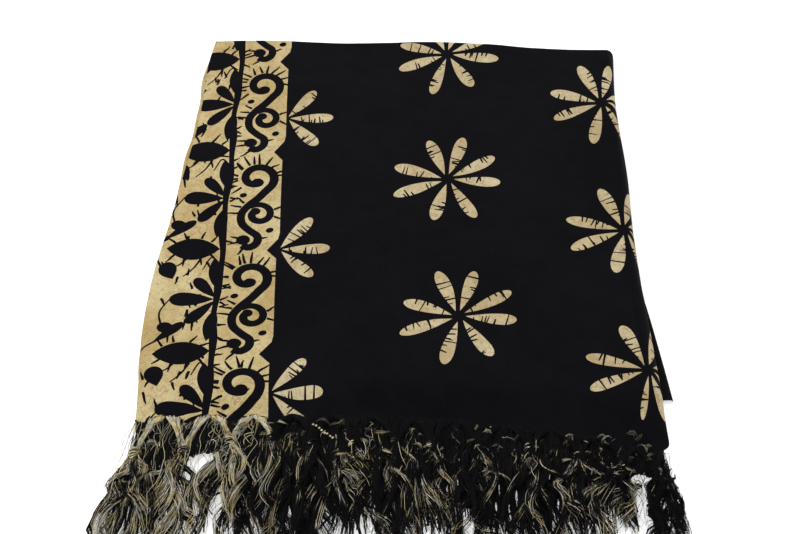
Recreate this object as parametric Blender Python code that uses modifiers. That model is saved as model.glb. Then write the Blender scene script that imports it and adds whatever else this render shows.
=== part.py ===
"""A printed sarong, folded and lying flat, with a knotted self fringe along its near edge.

Metres, +Z up. +X runs along the fringed hem to the centre fold, +Y from the hem to the far fold.
The cloth is 1.12 m wide and 1.80 m long. It is folded in half across its width, so that the centre
fold is at +X and both selvages are at -X, and then in thirds along its length. The top panel is a
thin wall that turns down at the two folds. The layers under it are one rounded solid. Each tassel is
a knot with its own strands: a few fan up to the hem, and the rest spread over the table.
The origin is at the middle of the footprint, on the table.
"""

import bmesh
import bpy
import numpy as np
from mathutils import Matrix, Vector

# Cloth
CLOTH_WALL = 0.0012
PANEL_GAP = 0.0008            # between the top panel's underside and the layers below it
LAYER_INSET = CLOTH_WALL + PANEL_GAP
PANEL_LIFT = 0.0008           # the lowest the top panel comes to the table
HEM_TOP = 0.0021              # height of the hem's upper face

# Heights of the folded stack, and how far its folds round away
STACK_LEFT = 0.0115
STACK_RIGHT = 0.0190
STACK_POWER = 1.2             # above 1, most of the rise is near the centre fold
LEFT_DROOP = 0.0012
LEFT_DROOP_WIDTH = 0.030
SIDE_ROUND = 0.012
FAR_ROUND = 0.009
NEAR_ROUND = 0.008
CORNER_PULL = 0.006           # how far the corner of the two folds is drawn in
LAYER_PULL = 0.0078           # the same for the layers inside

# The outline in plan. Y is 0 at the middle of the hem until the origin is set
LEFT_EDGE = (                 # y, x
    (0.000, -0.272), (0.060, -0.273), (0.120, -0.277), (0.190, -0.275), (0.300, -0.262),
    (0.370, -0.254), (0.440, -0.246), (0.500, -0.242), (0.570, -0.241), (0.626, -0.234),
)
RIGHT_EDGE = (                # y, x
    (-0.036, 0.2945), (0.180, 0.294), (0.270, 0.296), (0.350, 0.301), (0.500, 0.304), (0.591, 0.313),
)
FAR_FOLD = (                  # x, y
    (-0.240, 0.626), (-0.147, 0.624), (-0.072, 0.617), (0.089, 0.614), (0.160, 0.606),
    (0.199, 0.599), (0.249, 0.594), (0.313, 0.591),
)
HEM = (                       # x, y
    (-0.275, 0.015), (-0.150, 0.014), (0.010, 0.012), (0.064, 0.007), (0.117, 0.000),
    (0.170, -0.007), (0.220, -0.017), (0.262, -0.029), (0.300, -0.037),
)
NEAR_FOLD = (                 # x, y: where the hidden layers fold back under the top panel
    (-0.275, 0.052), (0.010, 0.046), (0.200, 0.034), (0.306, 0.027),
)
FLAP_OUT = (                  # y, how far the lower layers stand out past the right edge as a flap
    (0.027, 0.0125), (0.060, 0.0105), (0.120, 0.0060), (0.185, 0.0000), (0.600, 0.0000),
)
FLAP_TOP = 0.0050
FLAP_FADE = 0.0030            # the flap's ledge is full height once it stands out this far
FLAP_RISE = 0.010             # length over which its near end rises from the table
LEFT_PEEK = (                 # y, how far one hidden leaf is shifted out at the selvages
    (0.000, 0.0000), (0.300, 0.0006), (0.380, 0.0048), (0.460, 0.0072), (0.540, 0.0054), (0.600, 0.0012),
)

# Soft relief of the top panel
CREASE_X = 0.279              # a groove beside the centre fold, in the near third
CREASE_DEPTH = 0.0030
CREASE_WIDTH = 0.0045
CREASE_FROM, CREASE_TO = 0.020, 0.200
CREASE_NEAR_FADE, CREASE_FAR_FADE = 0.05, 0.06
SWELLS = (                    # x, y, radius, height of a broad rise or dip
    (-0.150, 0.430, 0.110, 0.0010), (0.060, 0.280, 0.150, 0.0012), (0.200, 0.480, 0.100, -0.0008),
    (0.150, 0.120, 0.110, 0.0010), (-0.120, 0.160, 0.120, -0.0006),
)

# Grid lines of the folded cloth
GUESS_FROM, GUESS_TO = -0.27, 0.30                # first guess of a row's x, before the passes
PASSES = 3                    # x and y depend on each other, so each row is solved in passes
PANEL_COLUMNS = 19
CREASE_COLUMNS = (-0.010, -0.0065, -0.003, 0.0)   # x from the start of the side's round
DROP_ROWS = 7                 # from the hem up to the top of the stack
FLAT_ROWS = 17
PANEL_ARC = (68, 47, 29, 14, 3)                   # degrees, 90 is the top of a fold, 0 its foot
LAYER_ARC = (68, 47, 38, 29, 14, 3)
SIDE_CLEFT = (0, 0, 0.0022, 0, 0, 0)              # the cleft between layers in the centre fold
LEDGE = (                     # share of the flap's reach, height on the flap, height without it
    (0.80, 0.0046, 0.0024), (1.00, 0.0018, 0.0019),
)
LEDGE_STEP = 0.0002           # where there is no flap, the ledge's points keep this far apart
LEAVES = (                    # leaf's lower and upper height as a share of the stack, its set-back
    (0.05, 0.30, 0.0020), (0.37, 0.63, 0.0000), (0.70, 0.93, 0.0012),
)
PEEKING_LEAF = 1
CLEFT_DEPTH = 0.0045
CLEFT_SHARE = 0.035
LEAF_CLOSE = 0.35             # height share of an end row below which the leaves lie flush
EDGE_SETBACK = 0.0010
LAYER_COLUMNS = 11
LEAF_FOOT = 0.0006            # height of the lowest leaf's lower edge
SELVAGE_INSET = 0.0004        # of the leaves from the top panel's selvage
FOOT_STEP = 0.0004            # least spacing of the points round the flat underside
FOOT_INSET = 0.0030
FOLD_FOOT = 0.0140            # how far inside a fold's nose the flat underside ends
NEAR_FOOT = 0.0048            # the same at the fold near the fringe

# Fringe
KNOT_RADIUS = 0.0066
KNOT_HEIGHT = 0.0085
TASSELS = (                   # knot x, knot y, tips from x, tips to x, tips' y, sway
    (-0.266, -0.033, -0.3010, -0.2590, -0.1380, -0.0060),
    (-0.216, -0.030, -0.2530, -0.2110, -0.1440, -0.0030),
    (-0.168, -0.020, -0.2050, -0.1570, -0.1180, -0.0040),
    (-0.124, -0.016, -0.1500, -0.1080, -0.1430, 0.0030),
    (-0.082, -0.020, -0.1020, -0.0720, -0.1460, 0.0020),
    (-0.038, -0.026, -0.0650, -0.0190, -0.1160, -0.0040),
    (0.006, -0.024, -0.0120, 0.0110, -0.1430, 0.0030),
    (0.044, -0.028, 0.0170, 0.0510, -0.1240, 0.0030),
    (0.094, -0.034, 0.0580, 0.1040, -0.1440, -0.0030),
    (0.146, -0.034, 0.1110, 0.1640, -0.1480, 0.0040),
    (0.197, -0.042, 0.1710, 0.2060, -0.1400, -0.0040),
    (0.241, -0.050, 0.2125, 0.2500, -0.1150, 0.0030),
    (0.277, -0.060, 0.2570, 0.2900, -0.1440, 0.0050),
)
KNOT_SIDES, KNOT_RINGS = 10, 5
LOCKS = (                     # height of the layer over the table, pitch on the knot
    (0.0028, -36.0), (0.0078, 0.0), (0.0128, 36.0),
)
LOCK_TURNS = (-72, -36, 0, 36, 72)                # degrees on the knot, one lock for each
LOCK_STATIONS = (0.24, 0.62, 1.0)
LOCK_WIDTHS = (0.0022, 0.0021, 0.0009)
LOCK_SHORTEN = (0.000, 0.012, 0.004, 0.016, 0.007)
LOCK_LEAVE = 0.22             # how far a lock runs on in its first direction, as a share of its reach
LOCK_ARRIVE = 0.45            # the same at its tip
GATHER_TURNS = (108, 144, 216, 252)
GATHER_ENDS = (0.0155, 0.006, -0.006, -0.0155)      # where each gather meets the hem, from the knot
GATHER_STATIONS = (0.50, 1.0)
GATHER_WIDTHS = (0.0020, 0.0015)
GATHER_LEAVE, GATHER_ARRIVE = 0.35, 0.40
GATHER_HEIGHT = 0.0026
GATHER_GAP = 0.0006
ROOT_INSET = 0.0003
ROUTE_STEP = 0.02             # share of a route over which its direction is taken

# Colours, and roughness last
BLACK_CLOTH = (0.010, 0.009, 0.012, 0.75)
GREY_YARN = (0.160, 0.140, 0.110, 0.85)


def eased(table, at):
    """A smooth curve through a two-column table: on each span a cubic with the slopes of its ends."""
    keys, values = np.array(table, float).T
    slopes = np.gradient(values, keys)
    at = np.clip(np.asarray(at, float), keys[0], keys[-1])
    k = np.clip(np.searchsorted(keys, at) - 1, 0, len(keys) - 2)
    span = keys[k + 1] - keys[k]
    t = (at - keys[k]) / span
    start = (2 * t**3 - 3 * t**2 + 1) * values[k] + (t**3 - 2 * t**2 + t) * span * slopes[k]
    end = (3 * t**2 - 2 * t**3) * values[k + 1] + (t**3 - t**2) * span * slopes[k + 1]
    return start + end


def smoothstep(t):
    """0 up to t = 0, 1 from t = 1, and a smooth rise between."""
    t = np.clip(t, 0.0, 1.0)
    return t * t * (3 - 2 * t)


def stack_height(x, y):
    """Height of the top panel's face over the flat of the stack, at plan points (x, y)."""
    left = eased(LEFT_EDGE, y)
    right = eased(RIGHT_EDGE, y)
    across = np.clip((x - left) / (right - left), 0.0, 1.0)
    height = STACK_LEFT + (STACK_RIGHT - STACK_LEFT) * across**STACK_POWER
    height = height - LEFT_DROOP * (1 - smoothstep((x - left) / LEFT_DROOP_WIDTH))
    for swell_x, swell_y, radius, rise in SWELLS:
        height = height + rise * np.exp(-((x - swell_x) ** 2 + (y - swell_y) ** 2) / radius**2)
    along = smoothstep((y - CREASE_FROM) / CREASE_NEAR_FADE)
    along = along * smoothstep((CREASE_TO - y) / CREASE_FAR_FADE)
    return height - CREASE_DEPTH * along * np.exp(-(((x - CREASE_X) / CREASE_WIDTH) ** 2))


def flap_share(y, near):
    """1 where the flap carries the panel's right edge, fading to 0 at both of the flap's ends."""
    reach = smoothstep(eased(FLAP_OUT, y) / FLAP_FADE)
    return reach * smoothstep((y - near + FLAP_RISE) / FLAP_RISE)


def grid_mesh(name, points):
    """An open sheet of quads through a grid of points, row by row."""
    rows, columns = points.shape[:2]
    index = np.arange(rows * columns).reshape(rows, columns)
    corners = (index[:-1, :-1], index[:-1, 1:], index[1:, 1:], index[1:, :-1])
    quads = np.stack(corners, axis=-1).reshape(-1, 4)
    mesh = bpy.data.meshes.new(name)
    mesh.from_pydata(points.reshape(-1, 3).tolist(), [], quads.tolist())
    return mesh


def fold_share(degrees):
    """Height share down a rounded fold: 1 on top, 0 at its foot."""
    return np.sin(np.radians(degrees))


def panel_points():
    """Grid of the top panel's outer face.

    Columns run from the selvage to the centre fold and round it, rows from the hem up the drop, over
    the flat and round the far fold. A fold's points lie on an ellipse, and where two folds meet the
    height is the product of both shares.
    """
    arc = np.radians(PANEL_ARC)
    flat = np.linspace(0.0, 1.0, PANEL_COLUMNS)
    drop = np.linspace(0.0, 1.0, DROP_ROWS, endpoint=False)
    columns = PANEL_COLUMNS + len(CREASE_COLUMNS) - 1 + len(PANEL_ARC)
    rows = []
    for row in range(DROP_ROWS + FLAT_ROWS + len(PANEL_ARC)):
        x = np.linspace(GUESS_FROM, GUESS_TO, columns)
        for _ in range(PASSES):
            hem = eased(HEM, x)
            fold = eased(NEAR_FOLD, x) + NEAR_ROUND
            far = eased(FAR_FOLD, x)
            if row < DROP_ROWS:
                y = hem + (fold - hem) * drop[row]
            elif row < DROP_ROWS + FLAT_ROWS:
                y = fold + (far - FAR_ROUND - fold) * (row - DROP_ROWS) / (FLAT_ROWS - 1)
            else:
                y = far - FAR_ROUND * (1 - np.cos(arc[row - DROP_ROWS - FLAT_ROWS]))
            left, right = eased(LEFT_EDGE, y), eased(RIGHT_EDGE, y)
            start = right[-1] - SIDE_ROUND
            flat_x = left[0] + (start + CREASE_COLUMNS[0] - left[0]) * flat
            crease_x = start + np.array(CREASE_COLUMNS[1:])
            arc_x = right[-1] - SIDE_ROUND * (1 - np.cos(arc))
            x = np.concatenate([flat_x, crease_x, arc_x])
        side = np.concatenate([np.ones(len(flat_x) + len(crease_x)), fold_share(PANEL_ARC)])
        far_share = 1.0
        height = stack_height(np.minimum(x, start), y)
        if row < DROP_ROWS:
            height = HEM_TOP + (height - HEM_TOP) * smoothstep((y - hem) / (fold - hem))
        elif row >= DROP_ROWS + FLAT_ROWS:
            far_share = fold_share(PANEL_ARC[row - DROP_ROWS - FLAT_ROWS])
        base = PANEL_LIFT + (FLAP_TOP + PANEL_GAP) * flap_share(y, eased(NEAR_FOLD, x))
        share = side * far_share
        z = np.where(share < 1.0, base + (height - base) * share, height)
        pull = CORNER_PULL * (1 - side) * (1 - far_share)
        rows.append(np.stack([x - pull, y - pull, z], axis=-1))
    return np.array(rows)


def top_panel():
    """The panel that shows: a wall that is thickened inwards from its outer face."""
    panel = bpy.data.objects.new("top_panel", grid_mesh("top_panel", panel_points()))
    wall = panel.modifiers.new("Wall", "SOLIDIFY")
    wall.thickness = CLOTH_WALL
    wall.offset = -1.0
    return panel


def leaf_profile():
    """Set-backs and height shares up the open left edge: each leaf's two corners, then the cleft."""
    setbacks, shares = [], []
    for low, high, setback in LEAVES:
        setbacks += [setback + EDGE_SETBACK, setback + EDGE_SETBACK]
        shares += [low, high]
        setbacks.append(setback + EDGE_SETBACK + CLEFT_DEPTH)
        shares.append(high + CLEFT_SHARE)
    setbacks[-1] = setback + 2 * EDGE_SETBACK
    shares[-1] = 1.0
    return np.array(setbacks), np.array(shares)


def peek_weights():
    """How much of the peek each point up the left edge takes: only one leaf shows."""
    weights = np.zeros(3 * len(LEAVES))
    weights[3 * PEEKING_LEAF:3 * PEEKING_LEAF + 2] = 1.0
    return weights


def layer_points():
    """Grid of the hidden layers' outer face, set in by one wall and its gap from the top panel."""
    setbacks, shares = leaf_profile()
    weights = peek_weights()
    side_arc, cleft = np.radians(LAYER_ARC), np.array(SIDE_CLEFT)
    near_arc = LAYER_ARC[::-1]
    flat = np.linspace(0.0, 1.0, LAYER_COLUMNS + 1)[1:]
    reach, on_flap, on_table = np.array(LEDGE).T
    level = LAYER_COLUMNS + len(CREASE_COLUMNS) - 1
    columns = len(setbacks) + level + len(LAYER_ARC) + len(LEDGE)
    rows = []
    total = len(near_arc) + FLAT_ROWS + len(LAYER_ARC)
    inset = LAYER_INSET
    for row in range(total):
        x = np.linspace(GUESS_FROM, GUESS_TO, columns)
        for _ in range(PASSES):
            near, far = eased(NEAR_FOLD, x), eased(FAR_FOLD, x)
            near_flat, far_flat = near + NEAR_ROUND, far - FAR_ROUND
            if row < len(near_arc):
                y = near + NEAR_ROUND * (1 - np.cos(np.radians(near_arc[row])))
                share = fold_share(near_arc[row])
            elif row < len(near_arc) + FLAT_ROWS:
                y = near_flat + (far_flat - near_flat) * (row - len(near_arc)) / (FLAT_ROWS - 1)
                share = 1.0
            else:
                degrees = LAYER_ARC[row - len(near_arc) - FLAT_ROWS]
                y = far_flat + (FAR_ROUND - inset) * np.cos(np.radians(degrees))
                share = fold_share(degrees)
            left = eased(LEFT_EDGE, y)[0] + SELVAGE_INSET
            edge = eased(RIGHT_EDGE, y)
            start = edge[-1] - SIDE_ROUND
            open_edge = np.clip((share - LEAF_CLOSE) / (1 - LEAF_CLOSE), 0.0, 1.0)
            spread = (setbacks - EDGE_SETBACK) * open_edge + EDGE_SETBACK
            leaf_x = left + spread - weights * open_edge * eased(LEFT_PEEK, y)[0]
            flat_x = leaf_x[-1] + (start + CREASE_COLUMNS[0] - leaf_x[-1]) * flat
            flat_x = np.concatenate([flat_x, start + np.array(CREASE_COLUMNS[1:])])
            arc_x = start + (SIDE_ROUND - inset - cleft * open_edge) * np.cos(side_arc)
            flap = flap_share(y, near)
            ledge_x = arc_x[-1] + LEDGE_STEP * np.arange(1, len(LEDGE) + 1)
            ledge_x = ledge_x + reach * eased(FLAP_OUT, y[-1]) * flap[-1]
            x = np.concatenate([leaf_x, flat_x, arc_x, ledge_x])
        ledge_z = on_table + (on_flap - on_table) * flap[-len(LEDGE):]
        foot = PANEL_LIFT + inset + (FLAP_TOP - PANEL_LIFT - inset) * flap
        foot[:len(setbacks)] = LEAF_FOOT
        side = np.concatenate([shares, np.ones(level), fold_share(LAYER_ARC), np.zeros(len(LEDGE))])
        top = stack_height(np.minimum(x, start), y) - inset
        foot[-len(LEDGE):] = ledge_z
        z = (foot + (top - foot) * side) * share + LEAF_FOOT * (1 - share)
        far_share = share if row >= len(near_arc) else 1.0
        pull = LAYER_PULL * (1 - np.maximum(side, side[-len(LEDGE) - 1])) * (1 - far_share)
        pull[:len(setbacks)] = 0.0
        rows.append(np.stack([x - pull, y - pull, z], axis=-1))
    return np.array(rows)


def even_shares(values):
    """Shares from 0 to 1 along a run of points, never closer together than the foot step."""
    steps = np.maximum(np.abs(np.diff(values)), FOOT_STEP)
    return np.concatenate([[0.0], np.cumsum(steps)]) / steps.sum()


def hidden_layers():
    """The folded layers as one solid: the rounded outer grid, a skirt inwards and a flat underside."""
    points = layer_points()
    rows, columns = points.shape[:2]
    mesh = grid_mesh("folded_layers", points)
    body = bmesh.new()
    body.from_mesh(mesh)
    body.verts.ensure_lookup_table()
    middle = points[rows // 2]
    across = even_shares(middle[:, 0])
    along = even_shares(points[:, columns // 2, 1])

    def foot(row, column):
        near = eased(NEAR_FOLD, points[row, column, 0]) + NEAR_FOOT
        far = eased(FAR_FOLD, points[row, column, 0]) - FOLD_FOOT
        y = near + (far - near) * along[row]
        left = eased(LEFT_EDGE, y) + FOOT_INSET + EDGE_SETBACK
        right = eased(RIGHT_EDGE, y) + eased(FLAP_OUT, y) - FOLD_FOOT
        return left + (right - left) * across[column], y, 0.0

    border = [(0, c) for c in range(columns)]
    border += [(r, columns - 1) for r in range(1, rows)]
    border += [(rows - 1, c) for c in range(columns - 2, -1, -1)]
    border += [(r, 0) for r in range(rows - 2, 0, -1)]
    upper = [body.verts[r * columns + c] for r, c in border]
    lower = [body.verts.new(foot(r, c)) for r, c in border]
    for k in range(len(border)):
        after = (k + 1) % len(border)
        body.faces.new((upper[k], lower[k], lower[after], upper[after]))
    body.faces.new(lower)
    bmesh.ops.recalc_face_normals(body, faces=body.faces)
    bmesh.ops.triangulate(body, faces=body.faces)
    body.to_mesh(mesh)
    body.free()
    return bpy.data.objects.new("folded_layers", mesh)


def direction(degrees, pitch):
    """Unit vector in plan at so many degrees from -Y towards +X, raised by the pitch."""
    turn, rise = np.radians(degrees), np.radians(pitch)
    return Vector((np.sin(turn) * np.cos(rise), -np.cos(turn) * np.cos(rise), np.sin(rise)))


def bezier(start, leave, arrive, end, t):
    """Point on a cubic at t, from its two ends and the two points that it heads for."""
    u = 1 - t
    return start * u**3 + leave * (3 * u * u * t) + arrive * (3 * u * t * t) + end * t**3


def grow_strand(body, face, stations, widths, route):
    """Draws one four-sided strand out of a face of the knot, station by station.

    Each station turns the face square to the route there and sets it to its width.
    """
    bmesh.ops.inset_individual(body, faces=[face], thickness=ROOT_INSET)
    centre = face.calc_center_median()
    for t, width in zip(stations, widths):
        here = route(t)
        along = (route(min(t + ROUTE_STEP, 1.0)) - route(t - ROUTE_STEP)).normalized()
        drawn = bmesh.ops.extrude_discrete_faces(body, faces=[face])
        face = drawn["faces"][0]
        offsets = [vert.co - centre for vert in face.verts]
        for vert, offset in zip(face.verts, offsets):
            across = offset - along * offset.dot(along)
            vert.co = here + across.normalized() * width
        centre = here


def facing(body, centre, wanted):
    """The face of the knot that looks the wanted way."""
    return max(body.faces, key=lambda face: (face.calc_center_median() - centre).dot(wanted))


def lock_routes(body, centre, number, tips_from, tips_to, tips_y, sway):
    """Each lock's face on the knot and its route out to its tip, layer by layer."""
    found = []
    for layer, (height, pitch) in enumerate(LOCKS):
        for k, turn in enumerate(LOCK_TURNS):
            wanted = direction(turn, pitch)
            face = facing(body, centre, wanted)
            start = face.calc_center_median()
            across = (k + 0.5) / len(LOCK_TURNS)
            tip_y = tips_y + LOCK_SHORTEN[(k * 2 + layer + number) % len(LOCK_SHORTEN)]
            tip = Vector((tips_from + (tips_to - tips_from) * across, tip_y, height))
            reach = (tip - start).length
            leave = start + wanted * reach * LOCK_LEAVE
            leave.z = height
            arrive = tip + Vector((-sway, reach * LOCK_ARRIVE, 0.0))

            def route(t, start=start, leave=leave, arrive=arrive, tip=tip):
                point = bezier(start, leave, arrive, tip, t)
                point.x += sway * np.sin(2 * np.pi * t) * t
                return point

            found.append((face, route))
    return found


def gather_routes(body, centre, knot_x):
    """Each gather's face on the knot and its route up to the hem."""
    found = []
    for turn, end_x in zip(GATHER_TURNS, GATHER_ENDS):
        wanted = direction(turn, 0.0)
        face = facing(body, centre, wanted)
        start = face.calc_center_median()
        end_y = float(eased(HEM, knot_x + end_x)) - GATHER_GAP
        end = Vector((knot_x + end_x, end_y, GATHER_HEIGHT))
        reach = (end - start).length
        leave = start + wanted * reach * GATHER_LEAVE
        arrive = end - Vector((0.0, reach * GATHER_ARRIVE, 0.0))

        def route(t, start=start, leave=leave, arrive=arrive, end=end):
            return bezier(start, leave, arrive, end, t)

        found.append((face, route))
    return found


def tassel(number, knot_x, knot_y, tips_from, tips_to, tips_y, sway):
    """A knot with its gathered strands up to the hem and its locks spread over the table."""
    body = bmesh.new()
    centre = Vector((knot_x, knot_y, KNOT_HEIGHT))
    half_side = Matrix.Rotation(np.pi / KNOT_SIDES, 4, "Z")
    bmesh.ops.create_uvsphere(
        body, u_segments=KNOT_SIDES, v_segments=KNOT_RINGS, radius=KNOT_RADIUS,
        matrix=Matrix.Translation(centre) @ half_side)
    locks = lock_routes(body, centre, number, tips_from, tips_to, tips_y, sway)
    gathers = gather_routes(body, centre, knot_x)
    for face, route in locks:
        grow_strand(body, face, LOCK_STATIONS, LOCK_WIDTHS, route)
    for face, route in gathers:
        grow_strand(body, face, GATHER_STATIONS, GATHER_WIDTHS, route)
    bmesh.ops.recalc_face_normals(body, faces=body.faces)
    bmesh.ops.triangulate(body, faces=body.faces)
    name = f"tassel_{number:02d}"
    mesh = bpy.data.meshes.new(name)
    body.to_mesh(mesh)
    body.free()
    return bpy.data.objects.new(name, mesh)


def cloth_material(name, red, green, blue, roughness):
    material = bpy.data.materials.new(name)
    material.use_nodes = True
    shader = material.node_tree.nodes["Principled BSDF"]
    shader.inputs["Base Color"].default_value = (red, green, blue, 1.0)
    shader.inputs["Roughness"].default_value = roughness
    return material


def set_origin(parts):
    """Moves every part so that the origin is at the middle of the footprint."""
    points = np.array([vert.co for part in parts for vert in part.data.vertices])
    low, high = points.min(axis=0), points.max(axis=0)
    shift = Vector((-(low[0] + high[0]) / 2, -(low[1] + high[1]) / 2, 0.0))
    for part in parts:
        for vert in part.data.vertices:
            vert.co += shift
    return shift


def build():
    for existing in list(bpy.data.objects):
        bpy.data.objects.remove(existing)
    parts = [top_panel(), hidden_layers()]
    parts += [tassel(number, *row) for number, row in enumerate(TASSELS, start=1)]
    shift = set_origin(parts)
    collection = bpy.data.collections.new("sarong")
    bpy.context.scene.collection.children.link(collection)
    cloth = cloth_material("printed rayon", *BLACK_CLOTH)
    yarn = cloth_material("mixed fringe yarn", *GREY_YARN)
    for part in parts:
        collection.objects.link(part)
        part.data.materials.append(cloth if part.name in ("top_panel", "folded_layers") else yarn)
        part.data.shade_smooth()
    print("origin moved by", tuple(round(value, 4) for value in shift))


build()
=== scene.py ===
import math

import bpy
import numpy as np
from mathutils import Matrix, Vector
from mathutils.geometry import delaunay_2d_cdt


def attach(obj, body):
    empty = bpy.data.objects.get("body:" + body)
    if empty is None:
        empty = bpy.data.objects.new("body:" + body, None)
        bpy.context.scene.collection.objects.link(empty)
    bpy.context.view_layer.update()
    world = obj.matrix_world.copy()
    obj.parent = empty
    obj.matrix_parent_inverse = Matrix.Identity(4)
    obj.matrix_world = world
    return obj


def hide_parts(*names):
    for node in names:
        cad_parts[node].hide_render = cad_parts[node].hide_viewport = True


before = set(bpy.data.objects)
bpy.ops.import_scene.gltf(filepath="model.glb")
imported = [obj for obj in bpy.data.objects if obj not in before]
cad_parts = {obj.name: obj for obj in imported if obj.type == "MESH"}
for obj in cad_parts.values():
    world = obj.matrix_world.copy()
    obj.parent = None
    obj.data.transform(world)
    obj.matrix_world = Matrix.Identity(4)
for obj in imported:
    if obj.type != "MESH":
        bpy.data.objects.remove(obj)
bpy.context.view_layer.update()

# %% [markdown]
# ## Edges and folds
# A folded cloth is never a true rectangle: its layers slip, so each edge bends a little. An edge
# could be a straight line with noise, but the bends are large enough to see, so each edge is a
# short table of points in metres with a smooth curve through them. The solids in part.py follow the
# same edges. Plan coordinates have y = 0 at the middle of the hem, and PLAN_ORIGIN moves them
# into the frame.
# %% Edges and folds
PLAN_ORIGIN = np.array((-0.0073, -0.2389, 0.0))

LEFT_EDGE = (  # y, x of the selvage
    (0.000, -0.272), (0.060, -0.273), (0.120, -0.277), (0.190, -0.275), (0.300, -0.262),
    (0.370, -0.254), (0.440, -0.246), (0.500, -0.242), (0.570, -0.241), (0.626, -0.234),
)
RIGHT_EDGE = (  # y, x of the centre fold
    (-0.036, 0.2945), (0.180, 0.294), (0.270, 0.296), (0.350, 0.301), (0.500, 0.304), (0.591, 0.313),
)
FAR_FOLD = (  # x, y
    (-0.240, 0.626), (-0.147, 0.624), (-0.072, 0.617), (0.089, 0.614),
    (0.160, 0.606), (0.199, 0.599), (0.249, 0.594), (0.313, 0.591),
)
HEM = (  # x, y
    (-0.275, 0.015), (-0.150, 0.014), (0.010, 0.012), (0.064, 0.007), (0.117, 0.000),
    (0.170, -0.007), (0.220, -0.017), (0.262, -0.029), (0.300, -0.037),
)
NEAR_FOLD = ((-0.275, 0.052), (0.010, 0.046), (0.200, 0.034), (0.306, 0.027))  # x, y
FLAP_OUT = ((0.027, 0.0125), (0.060, 0.0105), (0.120, 0.0060), (0.185, 0.0), (0.600, 0.0))
SWELLS = (  # x, y, radius, rise of a broad swell
    (-0.150, 0.430, 0.110, 0.0010), (0.060, 0.280, 0.150, 0.0012), (0.200, 0.480, 0.100, -0.0008),
    (0.150, 0.120, 0.110, 0.0010), (-0.120, 0.160, 0.120, -0.0006),
)
STACK_LEFT, STACK_RIGHT, STACK_POWER = 0.0115, 0.0190, 1.2  # height at both sides, and how it grows
SIDE_ROUND, FAR_ROUND, NEAR_ROUND = 0.012, 0.009, 0.008  # how far the folds' quarter rounds reach
HEM_TOP, PANEL_LIFT, FLAP_TOP, FLAP_GAP = 0.0021, 0.0008, 0.0050, 0.0008
TABLE_GAP = 0.0003  # nothing comes nearer to the table
DROOP, DROOP_RUN = 0.0012, 0.030  # of the selvage
CORNER_PULL = 0.0015
CORNER_FROM, CORNER_REACH, CORNER_RISE = 0.272, 0.036, 0.024  # the hem's round near right corner
CREASE_X, CREASE_DEPTH, CREASE_WIDTH = 0.279, 0.0030, 0.0045
EDGE_THICK = 0.0009  # the thickness that the sheet's turned edge shows
FOLD_PASSES = 4  # repeats that settle a fold's place, because x and y depend on each other
print("stack between the selvages and the centre fold:", STACK_LEFT, "to", STACK_RIGHT, "m high")

# %% [markdown]
# ## Places of the tassels
# A maker ties a knot in each bunch of warp yarns, then the bunch fans out again. The knots could be
# evenly spaced, but hand-tied ones aren't, so each tassel has a row with its own knot, the span of
# its tips and the way it sways.
# %% Tassels
TASSELS = (  # knot x, knot y, tips from x, tips to x, tips' y, sway
    (-0.266, -0.033, -0.2950, -0.2590, -0.1380, -0.0060),
    (-0.216, -0.030, -0.2530, -0.2110, -0.1440, -0.0030),
    (-0.168, -0.020, -0.2050, -0.1570, -0.1180, -0.0040),
    (-0.124, -0.016, -0.1500, -0.1080, -0.1430, 0.0030),
    (-0.082, -0.020, -0.1020, -0.0720, -0.1460, 0.0020),
    (-0.038, -0.026, -0.0650, -0.0190, -0.1160, -0.0040),
    (0.006, -0.024, -0.0120, 0.0110, -0.1430, 0.0030),
    (0.044, -0.028, 0.0170, 0.0510, -0.1240, 0.0030),
    (0.094, -0.034, 0.0580, 0.1040, -0.1440, -0.0030),
    (0.146, -0.034, 0.1110, 0.1640, -0.1480, 0.0040),
    (0.197, -0.042, 0.1710, 0.2060, -0.1400, -0.0040),
    (0.241, -0.050, 0.2125, 0.2380, -0.1150, 0.0030),
    (0.273, -0.060, 0.2600, 0.2840, -0.1440, 0.0050),
)

GATHER_WIDTH = 0.010  # of the bell in which a knot draws the cloth
GATHER_FADE, GATHER_DEPTH = 0.030, 0.0014  # of the wrinkles that run up from the hem
HEM_DRAWN, HEM_DRAWN_LESS = 0.0085, 0.0050  # how far a knot draws the hem, less right of the border
print(len(TASSELS), "tassels")

# %% [markdown]
# ## Smooth curves
# Edges, heights and brush lines all need a smooth curve through a few points. Blender's own curves
# could do it, but a function that takes whole arrays is shorter and works on any grid.
# %% Curves through tables


def eased(table, at):
    """A smooth curve through a two-column table: on each span a cubic with the slopes of its ends."""
    keys, values = np.array(table, float).T
    slopes = np.gradient(values, keys)
    at = np.clip(np.asarray(at, float), keys[0], keys[-1])
    k = np.clip(np.searchsorted(keys, at) - 1, 0, len(keys) - 2)
    span = keys[k + 1] - keys[k]
    t = (at - keys[k]) / span
    start = (2 * t**3 - 3 * t**2 + 1) * values[k] + (t**3 - 2 * t**2 + t) * span * slopes[k]
    end = (3 * t**2 - 2 * t**3) * values[k + 1] + (t**3 - t**2) * span * slopes[k + 1]
    return start + end


def smoothstep(t):
    """3 t^2 - 2 t^3 between 0 and 1, flat outside."""
    t = np.clip(t, 0.0, 1.0)
    return t * t * (3 - 2 * t)


def quarter(radius, drop):
    """Length of a quarter ellipse: pi/2 * sqrt((a^2 + b^2) / 2)."""
    return math.pi / 2 * np.sqrt((radius**2 + drop**2) / 2)


print("length over the round at the centre fold:", round(quarter(SIDE_ROUND, STACK_RIGHT), 4), "m")

# %% [markdown]
# ## The hem and its wrinkles
# Where the yarns are tied, the knots pull the cloth's edge down and make short gathers, and
# between two knots the edge springs back. That could be modelled by hand, but a bell curve at each
# knot gives both the uneven hem and the wrinkles, and it keeps them in step with the fringe.
# %% Hem and wrinkles


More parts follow.
